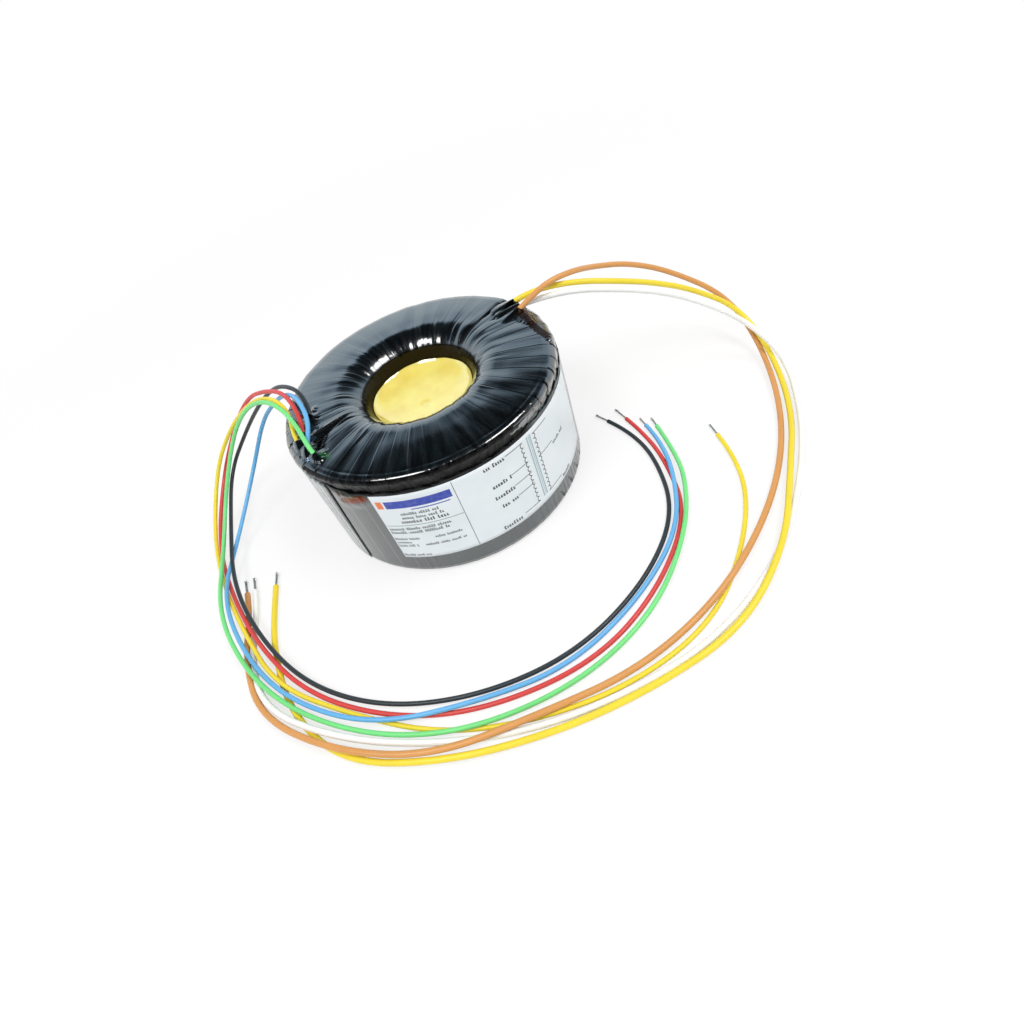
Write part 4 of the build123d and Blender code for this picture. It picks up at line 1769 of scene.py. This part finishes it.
@dataclass
class Surroundings:
    """Pale floor, even light, two high soft lamps at the front, and the camera."""

    camera_place: tuple[float, float, float] = (16.60, -232.08, 206.14)
    camera_drop: float = 47.02
    camera_roll: float = 21.62
    lens: float = 22.34
    behind: tuple[tuple[float, str], ...] = (
        (0.0, "#F2FAFF"),
        (0.45, "#DDF2FF"),
        (0.53, "#C8E4FC"),
        (0.60, "#6E8291"),
        (0.66, "#1C2429"),
        (0.74, "#0D1114"),
        (1.0, "#0A0C0E"),
    )
    before: tuple[tuple[float, str], ...] = ((0.0, "#C4C9CE"), (0.30, "#6A6F75"), (0.60, "#202428"), (1.0, "#101316"))

    def floor(self) -> bpy.types.Object:
        """Build the floor: white, with light of its own towards the camera so that shadows stay faint.

        Returns:
            The floor.
        """
        material = bpy.data.materials.new("Floor, white")
        material.use_nodes = True
        tree = material.node_tree
        tree.nodes.clear()
        path = add_node(tree, "ShaderNodeLightPath")
        shader = add_node(tree, "ShaderNodeBsdfDiffuse", {"Color": linear("#F2F2F2")})
        glow = add_node(tree, "ShaderNodeEmission", {"Color": (1.0, 1.0, 1.0, 1.0), "Strength": 1.0})
        place = add_node(tree, "ShaderNodeTexCoord")
        away = add_node(tree, "ShaderNodeVectorMath", {0: place.outputs["Object"]}, operation="LENGTH")
        own = add_node(
            tree,
            "ShaderNodeMapRange",
            {"Value": away.outputs["Value"], "From Min": 0.2, "From Max": 0.5, "To Min": 0.72, "To Max": 1.0},
            clamp=True,
        )
        share = add_node(
            tree, "ShaderNodeMath", {0: path.outputs["Is Camera Ray"], 1: own.outputs[0]}, operation="MULTIPLY"
        )
        mixed = add_node(tree, "ShaderNodeMixShader", {0: share.outputs[0], 1: shader.outputs[0], 2: glow.outputs[0]})
        add_node(tree, "ShaderNodeOutputMaterial", {"Surface": mixed.outputs[0]})
        mesh = bpy.data.meshes.new("floor")
        reach = 12.0
        mesh.from_pydata(
            [(-reach, -reach, 0), (reach, -reach, 0), (reach, reach, 0), (-reach, reach, 0)], [], [(0, 1, 2, 3)]
        )
        floor = bpy.data.objects.new("floor", mesh)
        floor.data.materials.append(material)
        bpy.context.scene.collection.objects.link(floor)
        return floor

    def sky(self) -> None:
        """Set the world: white to the camera; for reflections, bright up to half height and dimmer above."""
        world = bpy.data.worlds.new("Studio")
        bpy.context.scene.world = world
        world.use_nodes = True
        tree = world.node_tree
        tree.nodes.clear()
        path = add_node(tree, "ShaderNodeLightPath")
        place = add_node(tree, "ShaderNodeTexCoord")
        split = add_node(tree, "ShaderNodeSeparateXYZ", {0: place.outputs["Generated"]})
        halves = []
        for stops in (self.behind, self.before):
            level = add_node(tree, "ShaderNodeValToRGB", {0: split.outputs["Z"]})
            ramp = level.color_ramp
            ramp.elements[0].position, ramp.elements[0].color = stops[0][0], linear(stops[0][1])
            ramp.elements[1].position, ramp.elements[1].color = stops[-1][0], linear(stops[-1][1])
            for where, code in stops[1:-1]:
                ramp.elements.new(where).color = linear(code)
            halves.append(level)
        side = add_node(
            tree,
            "ShaderNodeMapRange",
            {"Value": split.outputs["Y"], "From Min": -0.35, "From Max": 0.15},
            clamp=True,
        )
        level = add_node(
            tree,
            "ShaderNodeMix",
            {0: side.outputs[0], 6: halves[1].outputs[0], 7: halves[0].outputs[0]},
            data_type="RGBA",
        )
        mirrored = add_node(tree, "ShaderNodeBackground", {"Color": level.outputs[2], "Strength": 1.0})
        even = add_node(tree, "ShaderNodeBackground", {"Color": (1.0, 1.0, 1.0, 1.0), "Strength": 0.62})
        clear = add_node(tree, "ShaderNodeBackground", {"Color": (1.0, 1.0, 1.0, 1.0), "Strength": 1.0})
        gloss = add_node(
            tree, "ShaderNodeMixShader", {0: path.outputs["Is Glossy Ray"], 1: even.outputs[0], 2: mirrored.outputs[0]}
        )
        seen = add_node(
            tree,
            "ShaderNodeMath",
            {0: path.outputs["Is Camera Ray"], 1: path.outputs["Is Transmission Ray"]},
            operation="MAXIMUM",
        )
        whole = add_node(tree, "ShaderNodeMixShader", {0: seen.outputs[0], 1: gloss.outputs[0], 2: clear.outputs[0]})
        add_node(tree, "ShaderNodeOutputWorld", {"Surface": whole.outputs[0]})

    def lamp(self, name: str, azimuth: float, height: float, distance: float, size: tuple, power: float) -> None:
        """Place an area lamp that faces the ring.

        Args:
            name: what it is.
            azimuth: direction from the ring, in degrees from +X.
            height: angle above the floor, in degrees.
            distance: from the ring, in metres.
            size: width and height, in metres.
            power: in watts.
        """
        light = bpy.data.lights.new(name, "AREA")
        light.shape = "RECTANGLE"
        light.size, light.size_y = size
        light.energy = power
        lamp = bpy.data.objects.new(name, light)
        bpy.context.scene.collection.objects.link(lamp)
        turn, rise = math.radians(azimuth), math.radians(height)
        away = Vector((math.cos(turn) * math.cos(rise), math.sin(turn) * math.cos(rise), math.sin(rise)))
        lamp.location = Vector((0, 0, 0.03)) + distance * away
        lamp.rotation_euler = (-away).to_track_quat("-Z", "Y").to_euler()

    def camera(self) -> None:
        """Place the camera: it looks down by camera_drop, turned about its axis by camera_roll."""
        drop, roll = math.radians(self.camera_drop), math.radians(self.camera_roll)
        right = Vector((1, 0, 0))
        up = Vector((0, math.sin(drop), math.cos(drop)))
        ahead = Vector((0, math.cos(drop), -math.sin(drop)))
        across = math.cos(roll) * right - math.sin(roll) * up
        above = math.sin(roll) * right + math.cos(roll) * up
        data = bpy.data.cameras.new("camera")
        data.lens, data.sensor_width = self.lens, 36.0
        data.clip_start, data.clip_end = 0.01, 20.0
        camera = bpy.data.objects.new("camera", data)
        turn = Matrix((across, above, -ahead)).transposed().to_4x4()
        camera.matrix_world = Matrix.Translation(Vector(self.camera_place) * MM) @ turn
        bpy.context.scene.collection.objects.link(camera)
        bpy.context.scene.camera = camera

    def build(self) -> None:
        """Set the surroundings up."""
        self.floor()
        self.sky()
        self.lamp("lamp_right", -24, 58, 1.2, (0.5, 0.38), 5.4)
        self.lamp("lamp_left", -142, 60, 1.2, (0.5, 0.38), 5.4)
        self.camera()
        bpy.context.scene.view_settings.view_transform = "Standard"


def main() -> None:
    """Build every piece in order and report it."""
    logging.basicConfig(level=logging.INFO, format="%(name)s: %(message)s")
    surroundings = Surroundings()
    surroundings.build()
    harness = Harness()
    for piece in harness.build():
        log.info("lead piece %s", piece.name)
    kept = Solids(frame["nodes"]).dress()
    log.info("dressed solids: %s", ", ".join(kept))
    exits = ExitFolds()
    hidden = [stretch for lead, _ in harness.leads() for stretch in lead.buried()] + exits.runs()
    for piece in TapedRing(buried=hidden, folds=exits.folds()).build():
        log.info("tape %s: %d faces", piece.name, len(piece.data.polygons))
    band = SideBand(buried=exits.under_film()).build()
    log.info("film %s: %d faces", band.name, len(band.data.polygons))
    for piece in Label().build():
        log.info("label %s: %d faces", piece.name, len(piece.data.polygons))
    for piece in Potting().build():
        log.info("resin %s: %d faces", piece.name, len(piece.data.polygons))
    bpy.context.view_layer.update()


if __name__ == "__main__":
    main()
